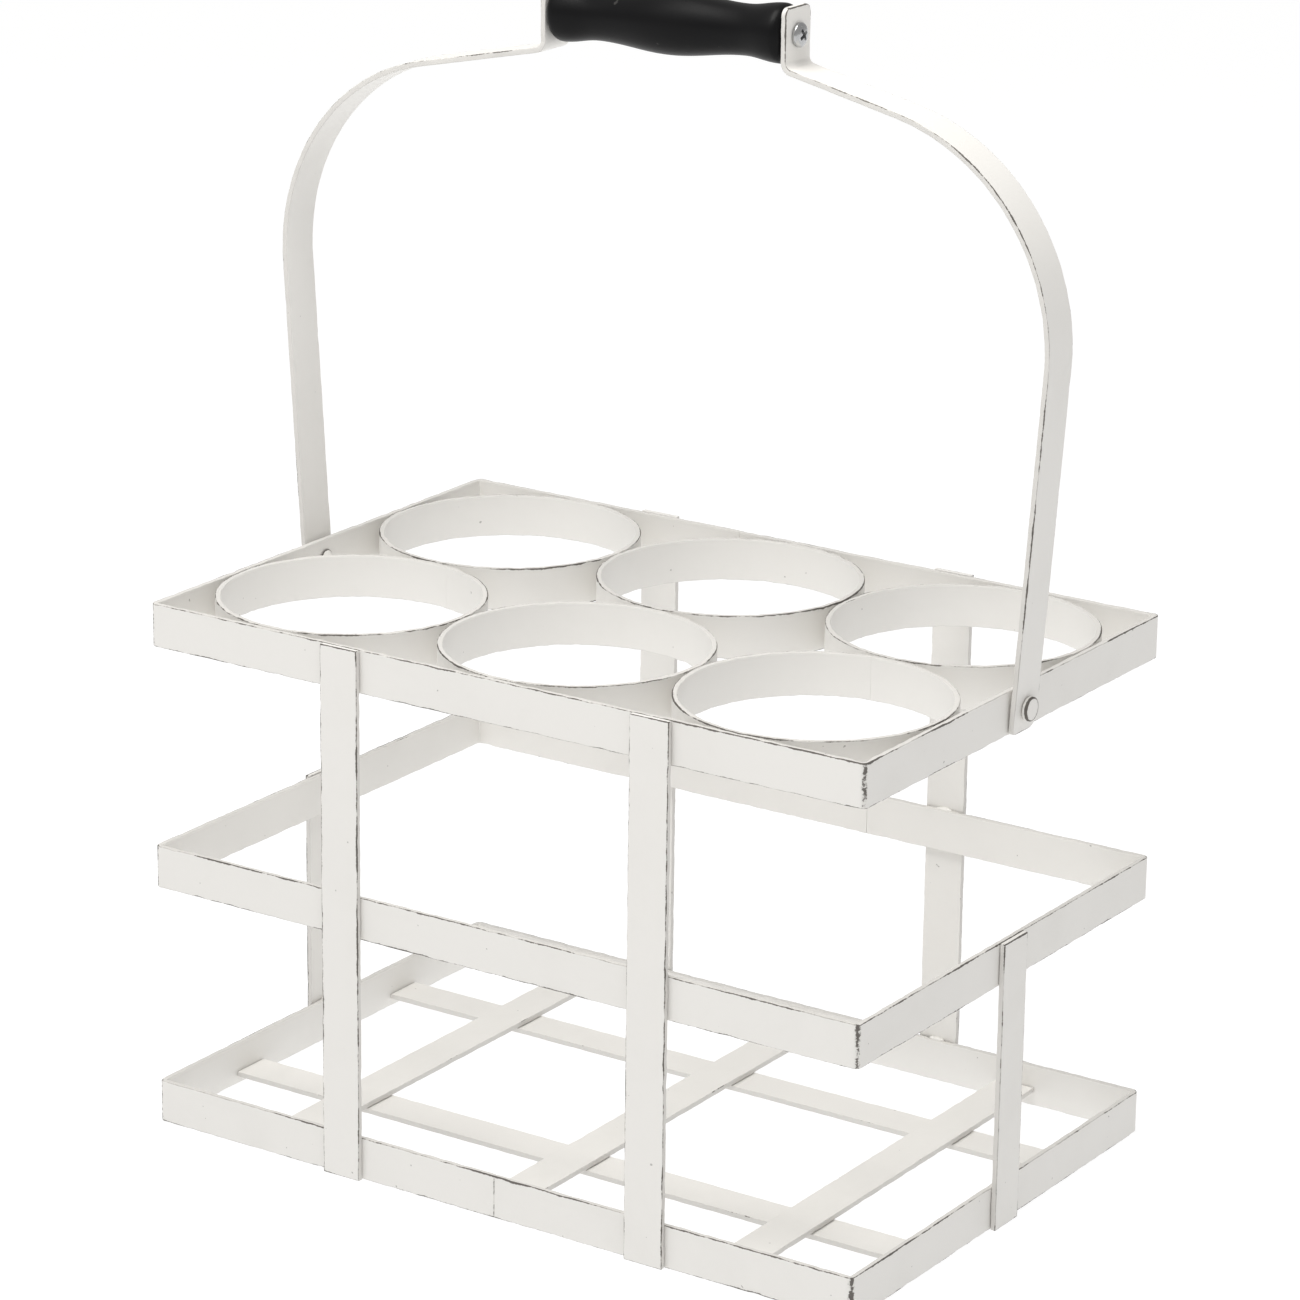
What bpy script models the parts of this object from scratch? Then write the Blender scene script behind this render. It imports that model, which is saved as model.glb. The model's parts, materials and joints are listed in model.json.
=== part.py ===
"""Milk bottle crate of welded flat steel bar, with a swinging bail handle and a turned wooden grip.

Three rectangular hoops of bar on edge are joined by long posts at the front and rear and by short
posts at the sides. The top hoop holds six rings, one for each bottle, and the bottom hoop holds a
floor of five slats. Two bent arms hang on rivets through the top hoop and carry the grip between
them on two wood screws.

Units are metres. X runs along the crate, Y from front to rear, Z is up, and the origin is at the
centre of the floor that the crate stands on.
"""

import math

import bmesh
import bpy
from mathutils import Vector

MM = 0.001

# Flat bar, and the gap left between pieces that are welded or lie against each other.
BAR_WIDTH = 16 * MM
BAR_THICKNESS = 2 * MM
FIT = 0.3 * MM

# The crate's body. Three rings along X and two along Y set the inside of the hoops. Posts and
# slats were welded on by eye, so each has a place of its own.
LENGTH = 300 * MM
HEIGHT = 200 * MM
RINGS_ALONG = 3
RINGS_ACROSS = 2
MIDDLE_BAND_HEIGHT = 92 * MM
CORNER_RADIUS = 1.5 * MM
POST_X = {
    ("front", "left"): -64.3 * MM,
    ("front", "right"): 66.2 * MM,
    ("rear", "left"): -65.8 * MM,
    ("rear", "right"): 63.5 * MM,
}

# Floor slats: the lengthwise pair lies under the three cross slats.
LENGTHWISE_SLAT_Y = {"front": -49.3 * MM, "rear": 47.2 * MM}
FLOOR_CLEARANCE = 3 * MM
CROSS_SLAT_X = {"left": -94.5 * MM, "middle": 3.5 * MM, "right": 99 * MM}

# Where the ends of each bent strip meet. Angles run from +X towards +Y, round a ring's centre.
RING_SEAM_DEGREES = {
    ("front", "left"): 80,
    ("front", "middle"): 262,
    ("front", "right"): 98,
    ("rear", "left"): 275,
    ("rear", "middle"): 268,
    ("rear", "right"): 280,
}
BAND_SEAM_X = {"top": -28 * MM, "middle": 31 * MM, "bottom": 1.5 * MM}

# Bail arms, as centre lines in the XZ plane, measured from the pivot axis.
PIVOT_HEIGHT = 192.5 * MM
ARM_FOOT = 8 * MM
ARM_PIVOT_X = 151.9 * MM
LEG_LEAN = math.radians(3.9)
SHOULDER_RISE = math.radians(12.3)
CROWN_RADIUS = 77.6 * MM
TAB_BEND_RADIUS = 3.5 * MM
TAB_TOP_HEIGHT = {"left": 420.7 * MM, "right": 424 * MM}
TAB_FOOT_HEIGHT = {"left": 398.3 * MM, "right": 402.9 * MM}
TAB_X = {"left": 45 * MM, "right": 54 * MM}
FOOT_CORNER_RADIUS = {"front": 1.2 * MM, "rear": 5 * MM}
TAB_CORNER_RADIUS = 3 * MM
TAB_HOLE_HEIGHT = {"left": 410.8 * MM, "right": 414.1 * MM}

# Pivot rivets: a flat head outside, a shank through arm and band, and a tail peened over inside.
RIVET_HEAD_RADIUS = 4.3 * MM
RIVET_HEAD_THICKNESS = 2 * MM
RIVET_HEAD_EDGE = 0.4 * MM
RIVET_SHANK_RADIUS = 2.5 * MM
RIVET_TAIL_RADIUS = 3.4 * MM
RIVET_TAIL_HEIGHT = 1.5 * MM

# Turned grip: a belly in the middle, two necks and two rounded ends. It slopes a little, because
# the left arm was bent lower than the right, so its ends need some play between the tabs.
GRIP_PLAY = 0.5 * MM
GRIP_BELLY_RADIUS = 11.3 * MM
GRIP_NECK_RADIUS = 8.9 * MM
GRIP_END_RADIUS = 10.4 * MM
GRIP_NECK_INSET = 17.5 * MM
GRIP_EDGE_RADIUS = 3.5 * MM

# Grip screws: a pan head with a cross recess, and a shank in a blind hole in the wood.
SCREW_HEAD_RADIUS = 4.4 * MM
SCREW_HEAD_HEIGHT = 2.6 * MM
SCREW_SHANK_RADIUS = 2 * MM
SCREW_LENGTH = 24 * MM
RECESS_LENGTH = 5 * MM
RECESS_WIDTH = 1.2 * MM
RECESS_DEPTH = 1.4 * MM

# Fineness of the curved faces.
RING_SEGMENTS = 64
TURNED_SEGMENTS = 32
GRIP_SEGMENTS = 40
PROFILE_STEPS = 6
DOME_STEPS = 4
CORNER_SEGMENTS = 5
LEAST_ARC_STEPS = 4
ARC_STEP = math.radians(5)
MERGE = 0.00001

# Sizes that follow from the ones above.
RING_DIAMETER = (LENGTH - 2 * BAR_THICKNESS - (RINGS_ALONG + 1) * FIT) / RINGS_ALONG
RING_PITCH = RING_DIAMETER + FIT
WIDTH = RINGS_ACROSS * RING_PITCH + FIT + 2 * BAR_THICKNESS
BAND_HEIGHT = {"top": HEIGHT - BAR_WIDTH, "middle": MIDDLE_BAND_HEIGHT, "bottom": 0.0}
RIVET_HEAD_GAP = RIVET_HEAD_RADIUS * math.tan(LEG_LEAN) + FIT
GRIP_SLOPE = math.atan2(
    TAB_HOLE_HEIGHT["right"] - TAB_HOLE_HEIGHT["left"],
    TAB_X["right"] + TAB_X["left"],
)
SCREW_HEAD_RIM = SCREW_HEAD_HEIGHT / 3
SCREW_POINT_LENGTH = 2 * SCREW_SHANK_RADIUS
HOLE_CUTTER_LENGTH = 5 * BAR_THICKNESS
SIDES = {"left": -1, "right": 1}
ENDS = {"front": -1, "rear": 1}
TURN_TO_X = math.radians(90)

PAINT = ("white_paint", (0.86, 0.855, 0.83), 0.45, 0.0)
BLACK_WOOD = ("black_wood", (0.012, 0.012, 0.013), 0.35, 0.0)
ZINC = ("zinc_plate", (0.62, 0.63, 0.65), 0.25, 1.0)


# ---------------------------------------------------------------------------------------------
# Scene, collections and materials
# ---------------------------------------------------------------------------------------------

for old in list(bpy.data.objects):
    bpy.data.objects.remove(old)

parts = bpy.data.collections.new("milk_bottle_crate")
cutters = bpy.data.collections.new("cutters")
bpy.context.scene.collection.children.link(parts)
bpy.context.scene.collection.children.link(cutters)
cutters.hide_render = True


def finish_material(finish):
    """The Principled material of one finish, made the first time it is asked for."""
    name, colour, roughness, metallic = finish
    if name in bpy.data.materials:
        return bpy.data.materials[name]
    material = bpy.data.materials.new(name)
    material.use_nodes = True
    shader = material.node_tree.nodes["Principled BSDF"]
    shader.inputs["Base Color"].default_value = (*colour, 1.0)
    shader.inputs["Roughness"].default_value = roughness
    shader.inputs["Metallic"].default_value = metallic
    return material


def add_part(name, mesh, finish, location=(0, 0, 0), rotation=(0, 0, 0), parent=None):
    """A named sub-part in the crate's collection, with its own material."""
    part = bpy.data.objects.new(name, mesh)
    parts.objects.link(part)
    part.data.materials.clear()
    part.data.materials.append(finish_material(finish))
    part.location = location
    part.rotation_euler = rotation
    part.parent = parent
    return part


def add_axis(name, location, rotation=(0, 0, 0), parent=None):
    """An empty that marks a joint's axis, along its own X. The pieces that turn are its children."""
    axis = bpy.data.objects.new(name, None)
    axis.empty_display_type = "ARROWS"
    axis.empty_display_size = 0.03
    axis.location = location
    axis.rotation_euler = rotation
    axis.parent = parent
    parts.objects.link(axis)
    return axis


# ---------------------------------------------------------------------------------------------
# Modelling helpers
# ---------------------------------------------------------------------------------------------


def filleted(corners):
    """Points of a flat path through (x, y, bend radius) corners, with each bend as an arc."""
    points = [Vector(corners[0][:2])]
    for before, corner, after in zip(corners, corners[1:], corners[2:]):
        here = Vector(corner[:2])
        arriving = (here - Vector(before[:2])).normalized()
        leaving = (Vector(after[:2]) - here).normalized()
        turn = arriving.angle_signed(leaving)
        setback = corner[2] * math.tan(abs(turn) / 2)
        inward = (leaving - arriving).normalized()
        centre = here + inward * (corner[2] / math.cos(turn / 2))
        first = here - arriving * setback - centre
        steps = max(LEAST_ARC_STEPS, math.ceil(abs(turn) / ARC_STEP))
        for step in range(steps + 1):
            # A turn is positive clockwise here, and an angle is positive the other way.
            angle = -turn * step / steps
            spoke = Vector((
                first.x * math.cos(angle) - first.y * math.sin(angle),
                first.x * math.sin(angle) + first.y * math.cos(angle),
            ))
            points.append(centre + spoke)
    points.append(Vector(corners[-1][:2]))
    return points


def ribbon(name, points):
    """An open strip as wide as the bar, standing on a flat path: an extruded curve made a mesh."""
    curve = bpy.data.curves.new(name, "CURVE")
    curve.dimensions = "2D"
    curve.fill_mode = "NONE"
    curve.extrude = BAR_WIDTH / 2
    spline = curve.splines.new("POLY")
    spline.points.add(len(points) - 1)
    for target, point in zip(spline.points, points):
        target.co = (point[0], point[1], 0, 1)
    guide = bpy.data.objects.new(name + "_guide", curve)
    parts.objects.link(guide)
    bpy.context.view_layer.update()
    mesh = bpy.data.meshes.new_from_object(guide.evaluated_get(bpy.context.evaluated_depsgraph_get()))
    mesh.name = name
    work = bmesh.new()
    work.from_mesh(mesh)
    bmesh.ops.remove_doubles(work, verts=work.verts, dist=MERGE)
    work.to_mesh(mesh)
    work.free()
    bpy.data.objects.remove(guide)
    return mesh


def thicken(part):
    """Gives a ribbon the bar's thickness, half on each side of its path."""
    solidify = part.modifiers.new("bar_thickness", "SOLIDIFY")
    solidify.thickness = BAR_THICKNESS
    solidify.offset = 0
    solidify.use_even_offset = True


def round_corners(part, name, corners, radius):
    """Rounds the given corner points of a ribbon, in its own plane."""
    group = part.vertex_groups.new(name=name)
    group.add([vertex.index for vertex in corners], 1.0, "REPLACE")
    bevel = part.modifiers.new(name, "BEVEL")
    bevel.affect = "VERTICES"
    bevel.limit_method = "VGROUP"
    bevel.vertex_group = name
    bevel.width = radius
    bevel.segments = CORNER_SEGMENTS


def straight_bar(name, size, location):
    """A cut length of flat bar, as a box of the given size about its location."""
    mesh = bpy.data.meshes.new(name)
    work = bmesh.new()
    bmesh.ops.create_cube(work, size=1.0)
    bmesh.ops.scale(work, vec=size, verts=work.verts)
    work.to_mesh(mesh)
    work.free()
    return add_part(name, mesh, PAINT, location)


def turned(name, profile, segments, finish, location, rotation, parent=None):
    """A turned piece: (radius, height) points, from the top down, screwed round the local Z axis."""
    mesh = bpy.data.meshes.new(name)
    work = bmesh.new()
    points = [work.verts.new((radius, 0, height)) for radius, height in profile]
    for upper, lower in zip(points, points[1:]):
        work.edges.new((upper, lower))
    work.to_mesh(mesh)
    work.free()
    part = add_part(name, mesh, finish, location, rotation, parent)
    screw = part.modifiers.new("turned", "SCREW")
    screw.steps = segments
    screw.render_steps = segments
    screw.use_merge_vertices = True
    screw.merge_threshold = MERGE
    return part


def cut(part, cutter_mesh, location, rotation, parent=None):
    """Takes a hidden cutter's shape out of a part."""
    cutter = bpy.data.objects.new(part.name + "_cutter", cutter_mesh)
    cutters.objects.link(cutter)
    cutter.location = location
    cutter.rotation_euler = rotation
    cutter.parent = parent
    cutter.hide_render = True
    cutter.display_type = "WIRE"
    boolean = part.modifiers.new("cut", "BOOLEAN")
    boolean.operation = "DIFFERENCE"
    boolean.solver = "EXACT"
    boolean.object = cutter


def rod_mesh(name, radius, length):
    """A closed cylinder about the local Z axis."""
    mesh = bpy.data.meshes.new(name)
    work = bmesh.new()
    bmesh.ops.create_cone(
        work,
        cap_ends=True,
        segments=TURNED_SEGMENTS,
        radius1=radius,
        radius2=radius,
        depth=length,
    )
    work.to_mesh(mesh)
    work.free()
    return mesh


# ---------------------------------------------------------------------------------------------
# Hoops: one strip each, bent round four corners, its ends meeting at a butt seam
# ---------------------------------------------------------------------------------------------


def hoop_path(seam_x, seam_side):
    """Centre line of a rectangular hoop, from one end of the strip to the other."""
    half_x = (LENGTH - BAR_THICKNESS) / 2
    half_y = (WIDTH - BAR_THICKNESS) / 2
    seam_y = seam_side * half_y
    return filleted([
        (seam_x + seam_side * FIT / 2, seam_y, 0),
        (seam_side * half_x, seam_y, CORNER_RADIUS),
        (seam_side * half_x, -seam_y, CORNER_RADIUS),
        (-seam_side * half_x, -seam_y, CORNER_RADIUS),
        (-seam_side * half_x, seam_y, CORNER_RADIUS),
        (seam_x - seam_side * FIT / 2, seam_y, 0),
    ])


hoops = {}
for level, seam_side in (("top", ENDS["rear"]), ("middle", ENDS["rear"]), ("bottom", ENDS["front"])):
    hoop_name = level + "_frame"
    hoop_mesh = ribbon(hoop_name, hoop_path(BAND_SEAM_X[level], seam_side))
    hoops[level] = add_part(hoop_name, hoop_mesh, PAINT, (0, 0, BAND_HEIGHT[level] + BAR_WIDTH / 2))
    thicken(hoops[level])

for side, sign in SIDES.items():
    pivot_hole = rod_mesh(side + "_band_hole", RIVET_SHANK_RADIUS + FIT, HOLE_CUTTER_LENGTH)
    hole_at = (sign * (LENGTH - BAR_THICKNESS) / 2, 0, PIVOT_HEIGHT)
    cut(hoops["top"], pivot_hole, hole_at, (0, TURN_TO_X, 0))


# ---------------------------------------------------------------------------------------------
# Bottle rings, flush with the top hoop and all but touching it and each other
# ---------------------------------------------------------------------------------------------


def ring_path(seam_angle):
    """Centre line of a ring, from one side of its seam round to the other."""
    radius = (RING_DIAMETER - BAR_THICKNESS) / 2
    half_gap = FIT / (2 * radius)
    sweep = 2 * math.pi - 2 * half_gap
    points = []
    for step in range(RING_SEGMENTS + 1):
        angle = seam_angle + half_gap + sweep * step / RING_SEGMENTS
        points.append((radius * math.cos(angle), radius * math.sin(angle)))
    return points


for end, end_sign in ENDS.items():
    for column, place in enumerate(("left", "middle", "right")):
        ring_name = f"{end}_{place}_ring"
        ring_mesh = ribbon(ring_name, ring_path(math.radians(RING_SEAM_DEGREES[end, place])))
        ring_x = (column - (RINGS_ALONG - 1) / 2) * RING_PITCH
        ring_y = end_sign * RING_PITCH / 2
        ring = add_part(ring_name, ring_mesh, PAINT, (ring_x, ring_y, HEIGHT - BAR_WIDTH / 2))
        thicken(ring)


# ---------------------------------------------------------------------------------------------
# Posts on the outside of the hoops, and the slats of the floor
# ---------------------------------------------------------------------------------------------

for end, end_sign in ENDS.items():
    post_y = end_sign * (WIDTH / 2 + FIT + BAR_THICKNESS / 2)
    for side in SIDES:
        straight_bar(
            f"{end}_{side}_post",
            (BAR_WIDTH, BAR_THICKNESS, HEIGHT),
            (POST_X[end, side], post_y, HEIGHT / 2),
        )

side_post_height = MIDDLE_BAND_HEIGHT + BAR_WIDTH
for side, side_sign in SIDES.items():
    straight_bar(
        side + "_side_post",
        (BAR_THICKNESS, BAR_WIDTH, side_post_height),
        (side_sign * (LENGTH / 2 + FIT + BAR_THICKNESS / 2), 0, side_post_height / 2),
    )

lower_slat_z = FLOOR_CLEARANCE + BAR_THICKNESS / 2
for end, slat_y in LENGTHWISE_SLAT_Y.items():
    straight_bar(
        end + "_floor_slat",
        (LENGTH - 2 * (BAR_THICKNESS + FIT), BAR_WIDTH, BAR_THICKNESS),
        (0, slat_y, lower_slat_z),
    )

upper_slat_z = lower_slat_z + BAR_THICKNESS + FIT
for place, slat_x in CROSS_SLAT_X.items():
    straight_bar(
        place + "_cross_slat",
        (BAR_WIDTH, WIDTH - 2 * (BAR_THICKNESS + FIT), BAR_THICKNESS),
        (slat_x, 0, upper_slat_z),
    )


# ---------------------------------------------------------------------------------------------
# Pivot rivets, fixed in the top hoop
# ---------------------------------------------------------------------------------------------


def rivet_profile():
    """(radius, distance out from the band's outer face), from the head's face to the tail's tip."""
    head_bottom = ARM_PIVOT_X + BAR_THICKNESS / 2 + RIVET_HEAD_GAP - LENGTH / 2
    head_top = head_bottom + RIVET_HEAD_THICKNESS
    tail_start = -BAR_THICKNESS - FIT
    profile = [
        (0, head_top),
        (RIVET_HEAD_RADIUS - RIVET_HEAD_EDGE, head_top),
        (RIVET_HEAD_RADIUS, head_top - RIVET_HEAD_EDGE),
        (RIVET_HEAD_RADIUS, head_bottom),
        (RIVET_SHANK_RADIUS, head_bottom),
        (RIVET_SHANK_RADIUS, tail_start),
        (RIVET_TAIL_RADIUS, tail_start),
    ]
    for step in range(1, DOME_STEPS + 1):
        angle = math.radians(90) * step / DOME_STEPS
        radius = RIVET_TAIL_RADIUS * math.cos(angle) if step < DOME_STEPS else 0
        profile.append((radius, tail_start - RIVET_TAIL_HEIGHT * math.sin(angle)))
    return profile


for side, side_sign in SIDES.items():
    turned(
        side + "_pivot_rivet",
        rivet_profile(),
        TURNED_SEGMENTS,
        PAINT,
        (side_sign * LENGTH / 2, 0, PIVOT_HEIGHT),
        (0, side_sign * TURN_TO_X, 0),
    )


# ---------------------------------------------------------------------------------------------
# Bail: two bent arms on the pivot axis
# ---------------------------------------------------------------------------------------------

bail_pivot = add_axis("bail_pivot", (0, 0, PIVOT_HEIGHT))


def arm_path(side):
    """Centre line of one arm from foot to tab, as (x, height over the pivot) for the +X side."""
    tab_x = TAB_X[side]
    tab_foot = TAB_FOOT_HEIGHT[side] - PIVOT_HEIGHT
    # The leg's line and the shoulder's line cross at the corner that the crown's arc rounds off.
    reach = ARM_PIVOT_X - tab_x
    rise = math.tan(SHOULDER_RISE)
    lean = math.tan(LEG_LEAN)
    crown_z = (tab_foot - reach * rise) / (1 + lean * rise)
    crown_x = ARM_PIVOT_X + crown_z * lean
    return filleted([
        (ARM_PIVOT_X - ARM_FOOT * math.sin(LEG_LEAN), -ARM_FOOT * math.cos(LEG_LEAN), 0),
        (crown_x, crown_z, CROWN_RADIUS),
        (tab_x, tab_foot, TAB_BEND_RADIUS),
        (tab_x, TAB_TOP_HEIGHT[side] - PIVOT_HEIGHT, 0),
    ])


for side, side_sign in SIDES.items():
    arm_name = side + "_bail_arm"
    arm_points = [(side_sign * x, height) for x, height in arm_path(side)]
    arm = add_part(
        arm_name,
        ribbon(arm_name, arm_points),
        PAINT,
        rotation=(math.radians(90), 0, 0),
        parent=bail_pivot,
    )
    heights = [vertex.co.y for vertex in arm.data.vertices]
    tab_corners = [v for v in arm.data.vertices if v.co.y > max(heights) - MERGE]
    round_corners(arm, "tab_corners", tab_corners, TAB_CORNER_RADIUS)
    # The strip's local Z points to the front of the crate.
    for end, end_sign in ENDS.items():
        foot = [v for v in arm.data.vertices if v.co.y < min(heights) + MERGE]
        foot_corner = [v for v in foot if v.co.z * end_sign < 0]
        round_corners(arm, end + "_foot_corner", foot_corner, FOOT_CORNER_RADIUS[end])
    thicken(arm)
    rivet_hole = rod_mesh(side + "_arm_hole", RIVET_SHANK_RADIUS + FIT, HOLE_CUTTER_LENGTH)
    cut(arm, rivet_hole, (side_sign * ARM_PIVOT_X, 0, 0), (0, TURN_TO_X, 0), bail_pivot)
    screw_hole = rod_mesh(side + "_tab_hole", SCREW_SHANK_RADIUS + FIT, HOLE_CUTTER_LENGTH)
    screw_hole_at = (side_sign * TAB_X[side], 0, TAB_HOLE_HEIGHT[side] - PIVOT_HEIGHT)
    cut(arm, screw_hole, screw_hole_at, (0, TURN_TO_X - GRIP_SLOPE, 0), bail_pivot)


# ---------------------------------------------------------------------------------------------
# Grip and its screws, turning together on the grip's own axis
# ---------------------------------------------------------------------------------------------

grip_centre_x = (TAB_X["right"] - TAB_X["left"]) / 2
grip_height = (TAB_HOLE_HEIGHT["right"] + TAB_HOLE_HEIGHT["left"]) / 2
grip_half = (TAB_X["right"] + TAB_X["left"] - BAR_THICKNESS) / 2 - GRIP_PLAY
grip_axis = add_axis(
    "grip_axis", (grip_centre_x, 0, grip_height - PIVOT_HEIGHT), (0, -GRIP_SLOPE, 0), bail_pivot
)


def eased(start, end, share):
    """A value between start and end that leaves and arrives level, as a turned curve does."""
    return start + (end - start) * (1 - math.cos(math.pi * share)) / 2


def grip_profile():
    """Half of the grip's outline, (radius, distance from its middle), from one end to the belly."""
    hole_radius = SCREW_SHANK_RADIUS + FIT
    hole_floor = grip_half - SCREW_LENGTH
    edge_start = grip_half - GRIP_EDGE_RADIUS
    neck = grip_half - GRIP_NECK_INSET
    outline = [(0, hole_floor), (hole_radius, hole_floor), (hole_radius, grip_half)]
    for step in range(PROFILE_STEPS + 1):
        angle = math.radians(90) * step / PROFILE_STEPS
        outline.append((
            GRIP_END_RADIUS - GRIP_EDGE_RADIUS * (1 - math.sin(angle)),
            edge_start + GRIP_EDGE_RADIUS * math.cos(angle),
        ))
    for step in range(1, PROFILE_STEPS + 1):
        share = step / PROFILE_STEPS
        distance = edge_start + (neck - edge_start) * share
        outline.append((eased(GRIP_END_RADIUS, GRIP_NECK_RADIUS, share), distance))
    for step in range(1, PROFILE_STEPS + 1):
        share = step / PROFILE_STEPS
        outline.append((eased(GRIP_NECK_RADIUS, GRIP_BELLY_RADIUS, share), neck * (1 - share)))
    return outline


half_outline = grip_profile()
mirrored_outline = [(radius, -distance) for radius, distance in reversed(half_outline[:-1])]
turned(
    "grip",
    half_outline + mirrored_outline,
    GRIP_SEGMENTS,
    BLACK_WOOD,
    (0, 0, 0),
    (0, TURN_TO_X, 0),
    grip_axis,
)


def screw_profile():
    """(radius, distance out from the tab's outer face), from the domed head to the tip."""
    dome_height = SCREW_HEAD_HEIGHT - SCREW_HEAD_RIM
    profile = []
    for step in range(DOME_STEPS + 1):
        angle = math.radians(90) * step / DOME_STEPS
        radius = SCREW_HEAD_RADIUS * math.sin(angle)
        profile.append((radius, FIT + SCREW_HEAD_RIM + dome_height * math.cos(angle)))
    tip = -SCREW_LENGTH + FIT
    profile += [
        (SCREW_HEAD_RADIUS, FIT),
        (SCREW_SHANK_RADIUS, FIT),
        (SCREW_SHANK_RADIUS, tip + SCREW_POINT_LENGTH),
        (0, tip),
    ]
    return profile


def recess_mesh(name):
    """A cross of two flat blades, joined into one body."""
    mesh = bpy.data.meshes.new(name)
    work = bmesh.new()
    half_long = RECESS_LENGTH / 2
    half_short = RECESS_WIDTH / 2
    outline = []
    for quarter in range(4):
        turn = math.radians(90) * quarter
        arm_corners = ((half_long, -half_short), (half_long, half_short), (half_short, half_short))
        for x, y in arm_corners:
            outline.append((
                x * math.cos(turn) - y * math.sin(turn),
                x * math.sin(turn) + y * math.cos(turn),
            ))
    floor = work.faces.new([work.verts.new((x, y, -RECESS_DEPTH)) for x, y in outline])
    raised = bmesh.ops.extrude_face_region(work, geom=[floor])
    top_points = [item for item in raised["geom"] if isinstance(item, bmesh.types.BMVert)]
    bmesh.ops.translate(work, vec=(0, 0, 3 * RECESS_DEPTH), verts=top_points)
    bmesh.ops.recalc_face_normals(work, faces=work.faces)
    work.to_mesh(mesh)
    work.free()
    return mesh


for side, side_sign in SIDES.items():
    tab_face_x = side_sign * (grip_half + GRIP_PLAY + BAR_THICKNESS)
    turn = (0, side_sign * TURN_TO_X, 0)
    grip_screw = turned(
        side + "_grip_screw", screw_profile(), TURNED_SEGMENTS, ZINC, (tab_face_x, 0, 0), turn, grip_axis
    )
    head_top_x = tab_face_x + side_sign * (FIT + SCREW_HEAD_HEIGHT)
    cut(grip_screw, recess_mesh(side + "_recess"), (head_top_x, 0, 0), turn, grip_axis)


# ---------------------------------------------------------------------------------------------
# Round pieces are shaded smooth, with sharp edges kept
# ---------------------------------------------------------------------------------------------

for part in parts.objects:
    if part.type == "MESH":
        part.data.shade_smooth()
        smooth = part.modifiers.get("turned")
        if smooth:
            smooth.use_smooth_shade = True
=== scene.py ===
# %% [markdown]
# # A milk bottle crate, piece by piece
# The crate is flat steel bar, bent and spot welded, then dipped in off-white paint that has since
# worn through along its edges. A bail of two bent arms hangs on rivets and carries a turned grip.
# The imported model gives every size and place. This lesson gives each piece its real edges, its
# welds and its finish.

# %% Load the fixed frame
import json
import math

import bmesh
import bpy
import numpy as np
from mathutils import Matrix, Vector


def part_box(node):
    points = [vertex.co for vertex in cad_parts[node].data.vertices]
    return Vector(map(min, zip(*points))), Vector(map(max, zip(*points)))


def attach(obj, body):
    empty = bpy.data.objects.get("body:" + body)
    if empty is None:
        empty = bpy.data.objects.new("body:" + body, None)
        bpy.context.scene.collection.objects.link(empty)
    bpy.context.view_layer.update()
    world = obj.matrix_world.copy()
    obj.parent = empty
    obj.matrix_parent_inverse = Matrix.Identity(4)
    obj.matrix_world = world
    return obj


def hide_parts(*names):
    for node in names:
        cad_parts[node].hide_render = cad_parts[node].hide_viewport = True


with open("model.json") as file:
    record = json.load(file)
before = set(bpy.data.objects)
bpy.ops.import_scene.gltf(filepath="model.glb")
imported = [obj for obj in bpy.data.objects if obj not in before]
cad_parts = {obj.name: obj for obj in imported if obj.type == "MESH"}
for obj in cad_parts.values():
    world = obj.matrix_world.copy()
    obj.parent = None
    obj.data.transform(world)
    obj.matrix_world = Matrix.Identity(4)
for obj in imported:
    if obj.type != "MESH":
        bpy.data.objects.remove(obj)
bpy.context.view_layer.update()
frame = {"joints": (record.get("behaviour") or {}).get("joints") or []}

MM = 0.001
QUARTER_TURN = math.radians(90)

# %% [markdown]
# ## Formulas as node trees
# A wear mask or a rounded corner is a formula. It could be wired by hand, one Math node at a time,
# but then it reads as a list of links. Here a small class stands for one socket, so `1 - mask`
# adds the Math node that does it. Every other node comes from one method of a small graph class.


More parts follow.
